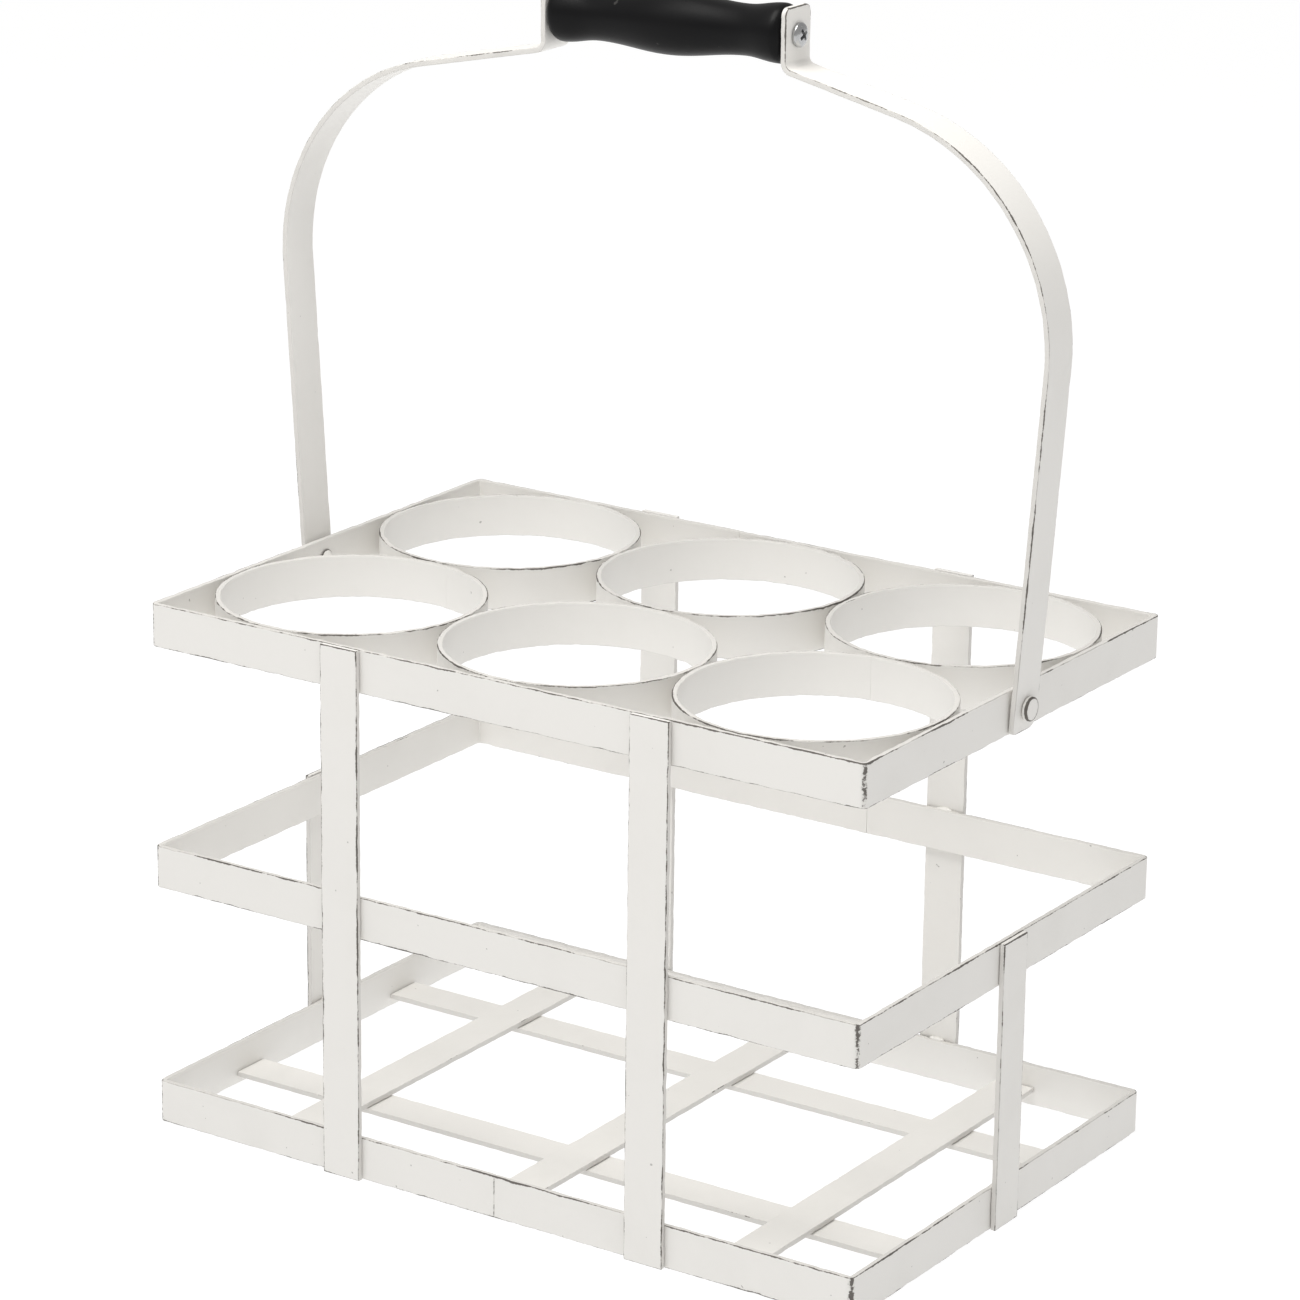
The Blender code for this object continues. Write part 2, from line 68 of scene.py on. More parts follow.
# %% A socket that does sums, and a graph that makes nodes
class Wire:
    """One output socket. A sum on it adds a Math node."""

    def __init__(self, tree, socket):
        self.tree = tree
        self.socket = socket

    def math(self, operation, *values):
        node = self.tree.nodes.new("ShaderNodeMath")
        node.operation = operation
        for target, value in zip(node.inputs, values):
            plug(self.tree, target, value)
        return Wire(self.tree, node.outputs[0])

    def __add__(self, other):
        return self.math("ADD", self, other)

    def __radd__(self, other):
        return self.math("ADD", other, self)

    def __sub__(self, other):
        return self.math("SUBTRACT", self, other)

    def __rsub__(self, other):
        return self.math("SUBTRACT", other, self)

    def __mul__(self, other):
        return self.math("MULTIPLY", self, other)

    def __rmul__(self, other):
        return self.math("MULTIPLY", other, self)

    def __truediv__(self, other):
        return self.math("DIVIDE", self, other)

    def __abs__(self):
        return self.math("ABSOLUTE", self)

    def __gt__(self, other):
        return self.math("GREATER_THAN", self, other)

    def least(self, other):
        return self.math("MINIMUM", self, other)

    def most(self, other):
        return self.math("MAXIMUM", self, other)

    def root(self):
        return self.math("SQRT", self)

    def ramp(self, start, end):
        """0 up to start, 1 from end on, and a smooth rise between them. It falls if start > end."""
        node = self.tree.nodes.new("ShaderNodeMapRange")
        node.interpolation_type = "SMOOTHSTEP"
        rising = start < end
        settings = {"From Min": min(start, end), "From Max": max(start, end)}
        settings.update({"To Min": 0.0 if rising else 1.0, "To Max": 1.0 if rising else 0.0})
        for name, value in {"Value": self, **settings}.items():
            plug(self.tree, node.inputs[name], value)
        return Wire(self.tree, node.outputs[0])

    def also(self, name):
        """Another output of the same node."""
        return Wire(self.tree, self.socket.node.outputs[name])


def plug(tree, target, value):
    """Links a wire to a socket, or sets the socket's own value."""
    if isinstance(value, Wire):
        tree.links.new(value.socket, target)
    else:
        target.default_value = value


class Graph:
    """A node tree, and the one way in which nodes are added to it."""

    def __init__(self, tree):
        self.tree = tree

    def node(self, kind, settings=None, sockets=None, out=0):
        """Makes a node, sets its settings, then its sockets. The result is one of its outputs."""
        node = self.tree.nodes.new(kind)
        for name, value in (settings or {}).items():
            setattr(node, name, value)
        for name, value in (sockets or {}).items():
            plug(self.tree, node.inputs[name], value)
        return Wire(self.tree, node.outputs[out])


# %% [markdown]
# ## Off-white paint, worn along the edges
# The bar was painted and then rubbed until dark steel showed along its arrises. The rubbing
# follows the edges of each bar and not the room, so the mask is worked out from three distances
# that each bar carries as attributes: across its width, through its thickness and to its nearest
# cut end. On any face one of the three is nothing, so the middle one of the three is the way to
# the nearest arris. Noise then breaks the line up and makes it wander. The outer face is rubbed
# most, the inner one is sheltered, and paint cracks off the outside of a tight fold.


# %% Worn paint
BAR_LOW, BAR_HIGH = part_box("front_left_post")
BAR_WIDTH = BAR_HIGH.x - BAR_LOW.x
BAR_THICKNESS = BAR_HIGH.y - BAR_LOW.y
PAINT_WHITE = (0.84, 0.825, 0.795, 1.0)
PAINT_SMUDGE = (0.74, 0.725, 0.69, 1.0)
WORN_STEEL = (0.055, 0.048, 0.042, 1.0)
DULL_STEEL = (0.15, 0.135, 0.12, 1.0)
# Grey of rubbed paint. The same grey is also laid on the narrow faces as painted shade.
RUBBED_AND_SHADE_GREY = (0.40, 0.385, 0.36, 1.0)

# How far the wear comes in, and how strong it is. Fades are per mm from the arris.
NARROW_FACE_SHARE = 0.85
INSIDE_SHELTER = 0.75
PATCH_REACH = 2.4
PATCH_REST = 0.42
BREAK_REACH = 1.4
WEAR_FADE = 1.45
SOFT_EDGE = 0.22
HARD_EDGE = 0.02
CRACK_DEPTH = 1.35
CRACK_BREAK = 1.5
CRACK_FLAKE = 1.6
CRACK_LIMIT = 1.12
SPECK_LIMIT = 0.80
SPECK_SHARE = 0.5
STEEL_SHARE = 0.92
EDGE_WIDTH = 0.30
LINE_SHARE = 0.75
# How strongly the narrow faces are greyed: painted shade that tones down the lit rims.
RIM_SHADE_SHARE = 0.32
RUB_FADE = 0.35
RUB_WIDTH = 1.6
RUB_SHARE = 0.34
FOLD_RUB_SHARE = 0.4
CLOUD_SHARE = 0.22
STREAK_SHARE = 0.10

# Lumps of noise per metre.
PATCH_SCALE = 34.0
BREAK_SCALE = 190.0
FLAKE_SCALE = 1000.0
SPECK_SCALE = 430.0
CLOUD_SCALE = 24.0
STREAK_SCALE = 320.0
PORE_SCALE = 900.0
BRUSH_MARK_SCALE = 130.0


def new_material(name):
    """An empty material with one Principled shader, and the graph to build on."""
    material = bpy.data.materials.new(name)
    material.use_nodes = True
    shader = material.node_tree.nodes["Principled BSDF"]
    return material, Graph(material.node_tree), shader


def noise(graph, where, scale, detail=2.0, roughness=0.5, distortion=0.0):
    """Soft noise from 0 to 1. Scale is in lumps per metre."""
    sockets = {"Vector": where, "Scale": scale, "Detail": detail}
    sockets.update({"Roughness": roughness, "Distortion": distortion})
    return graph.node("ShaderNodeTexNoise", {"noise_dimensions": "3D"}, sockets)


def attribute(graph, name):
    return graph.node("ShaderNodeAttribute", {"attribute_name": name}, out="Fac")


def relief(graph, strength, distance, height):
    """A normal that shows a height. A height of 1 stands proud by the distance."""
    sockets = {"Strength": strength, "Distance": distance, "Height": height}
    return graph.node("ShaderNodeBump", {}, sockets)


def set_finish(graph, shader, sockets):
    """Sets or links several of the shader's sockets."""
    for name, value in sockets.items():
        plug(graph.tree, shader.inputs[name], value)


def mixed(graph, share, first, second):
    """A colour between two, by a share from 0 to 1."""
    sockets = {0: share, 6: first, 7: second}
    return graph.node("ShaderNodeMix", {"data_type": "RGBA"}, sockets, out=2)


def worn_paint():
    material, graph, shader = new_material("white_paint")
    where = graph.node("ShaderNodeTexCoord", out="Object")
    across = BAR_WIDTH / 2 / MM - abs(attribute(graph, "across"))
    through = (BAR_THICKNESS / 2 / MM - abs(attribute(graph, "through"))) * NARROW_FACE_SHARE
    along = attribute(graph, "tip")
    to_arris = across.least(through).most(across.most(through).least(along))

    # Bare steel reaches in from the arris by a wandering distance. Below nothing, paint stays on.
    patches = noise(graph, where, PATCH_SCALE, detail=3.0)
    breaks = noise(graph, where, BREAK_SCALE, detail=3.0, roughness=0.6)
    flakes = noise(graph, where, FLAKE_SCALE, detail=3.0, roughness=0.65)
    wear = attribute(graph, "wear")
    outside = attribute(graph, "through").ramp(0.5, -0.8)
    reach = (patches - PATCH_REST) * PATCH_REACH + (breaks - 0.5) * BREAK_REACH + (flakes - 0.5)
    reach = reach + wear - (1 - outside) * INSIDE_SHELTER
    bare = (reach - to_arris * WEAR_FADE + 0.10).ramp(0.0, SOFT_EDGE)

    # The fold is cracked in ragged flakes, and a few specks are chipped off anywhere.
    fold = attribute(graph, "fold") * outside
    ragged = fold * CRACK_DEPTH + (breaks - 0.5) * CRACK_BREAK + (flakes - 0.5) * CRACK_FLAKE
    bare = bare.most((ragged - CRACK_LIMIT).ramp(0.0, SOFT_EDGE))
    specks = (noise(graph, where, SPECK_SCALE, detail=1.0) - SPECK_LIMIT).ramp(0.0, HARD_EDGE)
    bare = bare.most(specks * SPECK_SHARE)

    # Grey rubbing goes further in, and lies in a thin line along each outer arris. The same grey is
    # laid evenly on the narrow faces as painted shade, which keeps their rims from looking as brightly
    # lit as the lamps make them.
    line = EDGE_WIDTH - to_arris + (breaks - 0.5) * 0.5 + wear * 0.5
    line = line.ramp(0.0, SOFT_EDGE) * outside * LINE_SHARE
    rim_shade = (EDGE_WIDTH - across).ramp(0.0, 0.2) * RIM_SHADE_SHARE
    rub_and_rim_shade = (reach - to_arris * RUB_FADE - 0.10).ramp(0.0, RUB_WIDTH) * RUB_SHARE
    rub_and_rim_shade = rub_and_rim_shade.most((ragged - 0.70).ramp(0.0, 0.9) * FOLD_RUB_SHARE).most(line).most(rim_shade)

    cloud = noise(graph, where, CLOUD_SCALE, detail=5.0, roughness=0.62, distortion=0.4)
    cloud = cloud.ramp(0.42, 0.78)
    streaks = noise(graph, where, STREAK_SCALE, detail=4.0, roughness=0.7).ramp(0.5, 0.85)
    base = mixed(graph, cloud * CLOUD_SHARE + streaks * STREAK_SHARE, PAINT_WHITE, PAINT_SMUDGE)
    # The grey goes where paint is rubbed, and evenly on the narrow faces as painted shade.
    base = mixed(graph, rub_and_rim_shade, base, RUBBED_AND_SHADE_GREY)
    steel = mixed(graph, flakes, WORN_STEEL, DULL_STEEL)
    base = mixed(graph, bare * STEEL_SHARE, base, steel)

    skin = noise(graph, where, PORE_SCALE) * 0.35 + noise(graph, where, BRUSH_MARK_SCALE) * 0.65
    set_finish(graph, shader, {
        "Base Color": base,
        "Roughness": 0.42 + cloud * 0.10 + bare * 0.16,
        "Metallic": bare * 0.35,
        "Specular IOR Level": 0.42,
        "Normal": relief(graph, 0.22, 0.18 * MM, skin - bare * 0.8),
    })
    return material


white_paint = worn_paint()
print("worn paint:", len(white_paint.node_tree.nodes), "nodes")

# %% [markdown]
# ## One recipe for every bar
# Hoops, rings, posts, slats and bail arms are the same flat bar, straight or bent. A box per bar
# would have knife edges, and modelling each one by hand would drift. A Geometry Nodes tree makes
# them all: it sweeps a rectangle with rounded corners along a flat path, rounds off the cut ends
# where asked, and stores the distances that the paint reads.


# %% The bar tree
ARRIS_STEPS = 3
LEAST_CORNER = 1e-7
WANDER_SCALE = 210.0
WANDER_REST = 0.46
WANDER_GAIN = 5.0


def socket_id(tree, name):
    """The identifier of a tree's named input."""
    for item in tree.interface.items_tree:
        if item.item_type == "SOCKET" and item.in_out == "INPUT" and item.name == name:
            return item.identifier
    raise KeyError(name)


def new_tree(name, inputs):
    """A geometry tree with named inputs. Returns its graph and a wire for each input."""
    tree = bpy.data.node_groups.new(name, "GeometryNodeTree")
    tree.interface.new_socket("Geometry", in_out="OUTPUT", socket_type="NodeSocketGeometry")
    tree.interface.new_socket("Geometry", in_out="INPUT", socket_type="NodeSocketGeometry")
    for label, kind in inputs.items():
        tree.interface.new_socket(label, in_out="INPUT", socket_type=kind)
    graph = Graph(tree)
    first = graph.node("NodeGroupInput", out="Geometry")
    return graph, {label: first.also(label) for label in ("Geometry", *inputs)}


def finish_tree(graph, geometry, material):
    """Ends a tree in Realize Instances and Set Material."""
    real = graph.node("GeometryNodeRealizeInstances", {}, {"Geometry": geometry})
    painted = graph.node("GeometryNodeSetMaterial", {}, {"Geometry": real, "Material": material})
    output = graph.tree.nodes.new("NodeGroupOutput")
    plug(graph.tree, output.inputs["Geometry"], painted)
    return graph.tree


def store(graph, geometry, name, value):
    """Keeps a number on each point, under a name that materials can read."""
    return graph.node(
        "GeometryNodeStoreNamedAttribute",
        {"data_type": "FLOAT", "domain": "POINT"},
        {"Geometry": geometry, "Name": name, "Value": value},
    )


def named(graph, name):
    return graph.node("GeometryNodeInputNamedAttribute", {"data_type": "FLOAT"}, {"Name": name})


def bar_tree():
    lengths = ("Width", "Thickness", "Arris Radius", "Front Corner", "Rear Corner", "Far Corner")
    inputs = {name: "NodeSocketFloat" for name in (*lengths, "Raggedness", "Seed", "Wear", "Outside")}
    graph, given = new_tree("flat_bar", {**inputs, "Material": "NodeSocketMaterial"})
    path = graph.node("GeometryNodeMeshToCurve", {}, {"Mesh": given["Geometry"]})
    path = graph.node("GeometryNodeSetCurveNormal", {"mode": "Z_UP"}, {"Curve": path})
    section = graph.node(
        "GeometryNodeCurvePrimitiveQuadrilateral",
        {"mode": "RECTANGLE"},
        {"Width": given["Thickness"], "Height": given["Width"]},
    )
    section = graph.node(
        "GeometryNodeFilletCurve",
        {"mode": "POLY"},
        {"Curve": section, "Count": ARRIS_STEPS, "Radius": given["Arris Radius"]},
    )
    place = graph.node("GeometryNodeInputPosition")
    split = graph.node("ShaderNodeSeparateXYZ", {}, {"Vector": place}, out="X")
    section = store(graph, section, "through", split * given["Outside"] / MM)
    bar = graph.node(
        "GeometryNodeCurveToMesh", {}, {"Curve": path, "Profile Curve": section, "Fill Caps": True}
    )
    side = split.also("Z")
    bar = store(graph, bar, "across", side / MM)
    bar = store(graph, bar, "wear", given["Wear"])

    # Near a cut end with rounded corners, the bar's half width shrinks as a quarter circle does.
    in_front = side > 0.0
    near_corner = in_front * given["Front Corner"] + (1 - in_front) * given["Rear Corner"]
    is_far = named(graph, "far_half")
    corner = is_far * given["Far Corner"] + (1 - is_far) * near_corner + LEAST_CORNER
    inset = (corner - named(graph, "corner_reach") * MM).most(0.0)
    half = given["Width"] / 2
    kept = half - corner + (corner * corner - inset * inset).most(0.0).root()

    # Drips and file marks make each edge wander, always to the inside of its true line.
    wander = graph.node(
        "ShaderNodeTexNoise",
        {"noise_dimensions": "4D"},
        {"Vector": place, "W": given["Seed"], "Scale": WANDER_SCALE, "Detail": 3.0},
    )
    kept = kept - (wander - WANDER_REST).most(0.0) * WANDER_GAIN * given["Raggedness"]
    moved = graph.node(
        "ShaderNodeCombineXYZ", {}, {"X": split, "Y": split.also("Y"), "Z": side * kept / half}
    )
    bar = graph.node("GeometryNodeSetPosition", {}, {"Geometry": bar, "Position": moved})
    return finish_tree(graph, bar, given["Material"])


flat_bar = bar_tree()
print("bar tree:", len(flat_bar.nodes), "nodes")

# %% [markdown]
# ## From path to finished bar
# A tree's result could stay a live modifier, but each finished piece has to be a plain mesh that
# carries its own place. So each path is drawn flat, the tree is applied once, the mesh is moved
# to its place, holes are cut, and the shear-cut ends get a small bevel. Weighted normals keep the
# wide faces flat beside the rounded arrises.


# %% Helpers that make one finished mesh
ARRIS_RADIUS = 0.32 * MM
END_BEVEL = 0.22 * MM
SHARP_ANGLE = math.radians(38)
END_ANGLE = math.radians(55)


def to_mesh(name, work):
    """A mesh from a bmesh, which is freed."""
    mesh = bpy.data.meshes.new(name)
    work.to_mesh(mesh)
    work.free()
    return mesh


def new_object(name, mesh):
    piece = bpy.data.objects.new(name, mesh)
    bpy.context.scene.collection.objects.link(piece)
    return piece


def baked(piece):
    """Turns a piece and its modifiers into a plain mesh of its own."""
    bpy.context.view_layer.update()
    evaluated = piece.evaluated_get(bpy.context.evaluated_depsgraph_get())
    mesh = bpy.data.meshes.new_from_object(evaluated)
    mesh.name = piece.name
    piece.modifiers.clear()
    piece.data = mesh
    return piece


def grow(piece, tree, values):
    """Runs a geometry tree on a piece. Values are given by the names of the tree's inputs."""
    modifier = piece.modifiers.new("grow", "NODES")
    modifier.node_group = tree
    for name, value in values.items():
        modifier[socket_id(tree, name)] = value
    return baked(piece)


def cut_with(piece, cutter):
    """Takes a cutter's shape out of a piece, and removes the cutter."""
    modifier = piece.modifiers.new("cut", "BOOLEAN")
    modifier.solver = "EXACT"
    modifier.object = cutter
    baked(piece)
    bpy.data.objects.remove(cutter)


def ease_edges(piece, width):
    """Bevels what is still square, and keeps the flat faces looking flat."""
    bevel = piece.modifiers.new("ease", "BEVEL")
    bevel.width = width
    bevel.segments = 2
    bevel.limit_method = "ANGLE"
    bevel.angle_limit = END_ANGLE
    baked(piece)
    piece.data.shade_smooth()
    piece.data.set_sharp_from_angle(angle=SHARP_ANGLE)
    weighted = piece.modifiers.new("weighted", "WEIGHTED_NORMAL")
    weighted.keep_sharp = True
    baked(piece)


def settle(piece, body, replaced=()):
    """Last step for every piece: it rides on its body and stands for its CAD nodes."""
    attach(piece, body)
    if replaced:
        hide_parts(*replaced)
    print(f"{piece.name}: {len(piece.data.polygons)} faces on {body}")


# %% [markdown]
# ## Paths
# A path is a chain of points on a sheet of paper, with a round bend at each corner. Each point
# also carries how far it is from a cut end and how near it is to the middle of a tight fold, since
# paint cracks where a hoop was folded.


# %% Path helpers
FOLD_STEPS = 10
BEND_STEP = math.radians(3)
LONGEST_STEP = 2.2 * MM
RAGGEDNESS = 0.26 * MM
SEED_RANGE = 97
CORNER_STEPS = 9


def bent_path(corners):
    """Points and fold values of a path through (x, y, bend radius) corners."""
    points = [Vector(corners[0][:2])]
    folds = [0.0]
    for before, corner, after in zip(corners, corners[1:], corners[2:]):
        here, radius = Vector(corner[:2]), corner[2]
        arriving = (here - Vector(before[:2])).normalized()
        leaving = (Vector(after[:2]) - here).normalized()
        turn = -arriving.angle_signed(leaving)
        setback = radius * math.tan(abs(turn) / 2)
        centre = here + (leaving - arriving).normalized() * (radius / math.cos(turn / 2))
        spoke = here - arriving * setback - centre
        steps = max(FOLD_STEPS, math.ceil(abs(turn) / BEND_STEP))
        is_fold = 1.0 if radius < BAR_THICKNESS else 0.0
        for step in range(steps + 1):
            points.append(centre + Matrix.Rotation(turn * step / steps, 2) @ spoke)
            folds.append(is_fold * math.sin(math.pi * step / steps))
    points.append(Vector(corners[-1][:2]))
    folds.append(0.0)
    return points, folds


def with_short_steps(points, folds):
    """Splits long stretches, so that the edges of a straight bar can wander too."""
    fine_points, fine_folds = [points[0]], [folds[0]]
    for before, after, fold in zip(points, points[1:], folds[1:]):
        pieces = math.ceil((after - before).length / LONGEST_STEP)
        for k in range(1, pieces + 1):
            fine_points.append(before.lerp(after, k / pieces))
            fine_folds.append(fold if k == pieces else 0.0)
    return fine_points, fine_folds


def with_round_tips(points, folds, reach):
    """Puts points closer and closer together towards each tip, where a corner is rounded off."""
    first, last = points[0], points[-1]
    kept = []
    for k, point in enumerate(points):
        if min((point - first).length, (point - last).length) > reach:
            kept.append(k)
    inset = [reach * (1 - math.cos(QUARTER_TURN * k / CORNER_STEPS)) for k in range(1, CORNER_STEPS)]
    inward = (points[kept[0]] - first).normalized()
    start = [first, *(first + inward * distance for distance in inset)]
    inward = (points[kept[-1]] - last).normalized()
    end = [*(last + inward * distance for distance in reversed(inset)), last]
    flat = [0.0] * len(start)
    return [*start, *(points[k] for k in kept), *end], [*flat, *(folds[k] for k in kept), *flat]


def path_object(name, points, folds, end_reach):
    """A chain of edges, with each point's distance to the nearer end, for the tree to sweep."""
    points, folds = with_short_steps(points, folds)
    if end_reach:
        points, folds = with_round_tips(points, folds, end_reach)
    lengths = [0.0]
    for a, b in zip(points, points[1:]):
        lengths.append(lengths[-1] + (b - a).length)
    total = lengths[-1]
    mesh = bpy.data.meshes.new(name)
    edges = [(k, k + 1) for k in range(len(points) - 1)]
    mesh.from_pydata([(p.x, p.y, 0) for p in points], edges, [])
    tips = [min(s, total - s) / MM for s in lengths]
    far = [float(s > total / 2) for s in lengths]
    for label, values in {"tip": tips, "corner_reach": tips, "far_half": far, "fold": folds}.items():
        mesh.attributes.new(label, "FLOAT", "POINT").data.foreach_set("value", values)
    return new_object(name, mesh)


def make_bar(name, points, folds, place, wear, outside=1, corners=(0.0, 0.0, 0.0)):
    """Sweeps the bar along a path, and puts it in its place. Outside is 1 or -1, for the side of
    the path that the outer face is on. Corners are the radii of the first cut end's front and rear
    corner, and of both corners of the last one."""
    piece = path_object(name, points, folds, max(corners))
    grow(piece, flat_bar, {
        "Width": BAR_WIDTH,
        "Thickness": BAR_THICKNESS,
        "Arris Radius": ARRIS_RADIUS,
        "Front Corner": corners[0],
        "Rear Corner": corners[1],
        "Far Corner": corners[2],
        "Raggedness": RAGGEDNESS,
        "Seed": float(sum(map(ord, name)) % SEED_RANGE),
        "Wear": wear,
        "Outside": float(outside),
        "Material": white_paint,
    })
    piece.data.transform(place)
    return piece


# %% [markdown]
# ## Hoops
# Each hoop is one strip bent round four tight corners, with its two ends butted and welded. A
# closed loop would hide that seam, so the path is open by a hair's breadth, and the seam shows as
# the fine line that it is on the real hoop.

# %% Three hoops
SEAM_GAP = 0.05 * MM
HOOP_WEAR = 0.08
RING_WEAR = 0.15
POST_WEAR = 0.12
SLAT_WEAR = -0.45
ARM_WEAR = {"left": -0.18, "right": 0.04}
SEAM_X = {"top": -28 * MM, "middle": 31 * MM, "bottom": 1.5 * MM}
SEAM_SIDE = {"top": 1, "middle": 1, "bottom": -1}
FOLD_RADIUS = 1.5 * MM
PIVOT_HOLE_RADIUS = 2.8 * MM
CUTTER_LENGTH = 12 * MM
CUTTER_SIDES = 40
HOOP_TIP_QUIET = 0.5


def quiet_tips(piece, added):
    """Keeps paint on at a welded seam: adds to each point's distance from the cut ends, in mm."""
    tips = piece.data.attributes["tip"].data
    values = np.empty(len(tips), np.float32)
    tips.foreach_get("value", values)
    tips.foreach_set("value", values + added)


def drill(piece, radius, place):
    """Makes a round hole along a place's local Z."""
    work = bmesh.new()
    size = {"radius1": radius, "radius2": radius, "depth": CUTTER_LENGTH}
    bmesh.ops.create_cone(work, cap_ends=True, segments=CUTTER_SIDES, **size)
    bmesh.ops.transform(work, matrix=place, verts=work.verts)
    cut_with(piece, new_object("hole", to_mesh("hole", work)))


def along_x(x, z, sign=1):
    """A place on the handle's plane, with local Z turned to run along the crate."""
    return Matrix.Translation((x, 0, z)) @ Matrix.Rotation(sign * QUARTER_TURN, 4, "Y")


pivot_low, pivot_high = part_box("right_pivot_rivet")
PIVOT_Z = (pivot_low.z + pivot_high.z) / 2
for level, seam_side in SEAM_SIDE.items():
    node = level + "_frame"
    low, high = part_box(node)
    half_x = high.x - BAR_THICKNESS / 2
    half_y = (high.y - BAR_THICKNESS / 2) * seam_side
    corners = [
        (SEAM_X[level] + seam_side * SEAM_GAP / 2, half_y, 0),
        (seam_side * half_x, half_y, FOLD_RADIUS),
        (seam_side * half_x, -half_y, FOLD_RADIUS),
        (-seam_side * half_x, -half_y, FOLD_RADIUS),
        (-seam_side * half_x, half_y, FOLD_RADIUS),
        (SEAM_X[level] - seam_side * SEAM_GAP / 2, half_y, 0),
    ]
    place = Matrix.Translation((0, 0, (low.z + high.z) / 2))
    hoop = make_bar(level + "_hoop", *bent_path(corners), place, HOOP_WEAR)
    quiet_tips(hoop, HOOP_TIP_QUIET)
    if level == "top":
        for side in (-1, 1):
            drill(hoop, PIVOT_HOLE_RADIUS, along_x(side * half_x, PIVOT_Z))
    ease_edges(hoop, END_BEVEL)
    settle(hoop, "crate", [node])

# %% [markdown]
# ## Bottle rings
# A ring is the same strip rolled into a circle and welded at one seam. The seams lie where each
# ring happened to be turned when it was tacked in.

# %% Six rings
RING_STEPS = 120
RING_END_BEVEL = 0.10 * MM
RING_TIP_QUIET = 3.0
RING_SEAMS = {
    "front_left": 80,
    "front_middle": 262,
    "front_right": 98,
    "rear_left": 275,
    "rear_middle": 268,
    "rear_right": 280,
}
ring_places = {}
for label, seam_degrees in RING_SEAMS.items():
    node = label + "_ring"
    low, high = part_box(node)
    centre = (low + high) / 2
    ring_places[label] = centre
    radius = (high.x - low.x - BAR_THICKNESS) / 2
    half_gap = SEAM_GAP / 2 / radius
    start = math.radians(seam_degrees) + half_gap
    sweep = math.tau - 2 * half_gap
    angles = [start + sweep * step / RING_STEPS for step in range(RING_STEPS + 1)]
    circle = [Vector((radius * math.cos(a), radius * math.sin(a))) for a in angles]
    place = Matrix.Translation(centre)
    ring = make_bar(node + "_bar", circle, [0.0] * len(circle), place, RING_WEAR, outside=-1)
    quiet_tips(ring, RING_TIP_QUIET)
    ease_edges(ring, RING_END_BEVEL)
    settle(ring, "crate", [node])

# %% [markdown]
# ## Posts and slats
# These are straight cuts of the bar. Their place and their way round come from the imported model:
# the longest side is the path and the shortest is the thickness, with the outer face turned away
# from the middle of the crate.

# %% Eleven straight bars
LONG_POSTS = ["front_left_post", "front_right_post", "rear_left_post", "rear_right_post"]
POSTS = [*LONG_POSTS, "left_side_post", "right_side_post"]
LENGTHWISE_SLATS = ["front_floor_slat", "rear_floor_slat"]
CROSS_SLATS = ["left_cross_slat", "middle_cross_slat", "right_cross_slat"]


def place_of(node):
    """The place and the length of a straight bar, from its box."""
    low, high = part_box(node)
    size = high - low
    order = sorted(range(3), key=lambda axis: size[axis])
    axes = Matrix.Identity(3)
    along, through = axes[order[2]], axes[order[0]] * math.copysign(1, low[order[0]])
    turn = Matrix((along, through, along.cross(through))).transposed()
    return Matrix.Translation((low + high) / 2) @ turn.to_4x4(), size[order[2]]


for node in (*POSTS, *LENGTHWISE_SLATS, *CROSS_SLATS):
    place, length = place_of(node)
    line = [Vector((-length / 2, 0)), Vector((length / 2, 0))]
    wear = POST_WEAR if node in POSTS else SLAT_WEAR
    bar = make_bar(node + "_bar", line, [0.0] * len(line), place, wear)
    ease_edges(bar, END_BEVEL)
    settle(bar, "crate", [node])

# %% [markdown]
# ## Bail arms
# Each arm is one long strip. It leans out a little over the pivot, sweeps over in a wide crown,
# runs in along a sloping shoulder and turns up into a tab for the grip. The two were bent by hand,
# so the left one turns in a little lower than the right. The foot's rear corner is clipped round.

# %% Two arms
LEG_LEAN = math.radians(3.9)
SHOULDER_RISE = math.radians(12.3)
CROWN_RADIUS = 77.6 * MM
TAB_BEND_RADIUS = 3.5 * MM
ARM_FOOT = 8 * MM
ARM_PIVOT_X = 151.9 * MM
TAB_FOOT_Z = {"left": 398.3 * MM, "right": 402.9 * MM}
FOOT_FRONT_CORNER = 1.2 * MM
FOOT_REAR_CORNER = 5.0 * MM
TAB_CORNER = 3.0 * MM
TAB_HOLE_RADIUS = 2.3 * MM
SIDES = {"left": -1, "right": 1}
UPRIGHT = Matrix.Rotation(QUARTER_TURN, 4, "X")

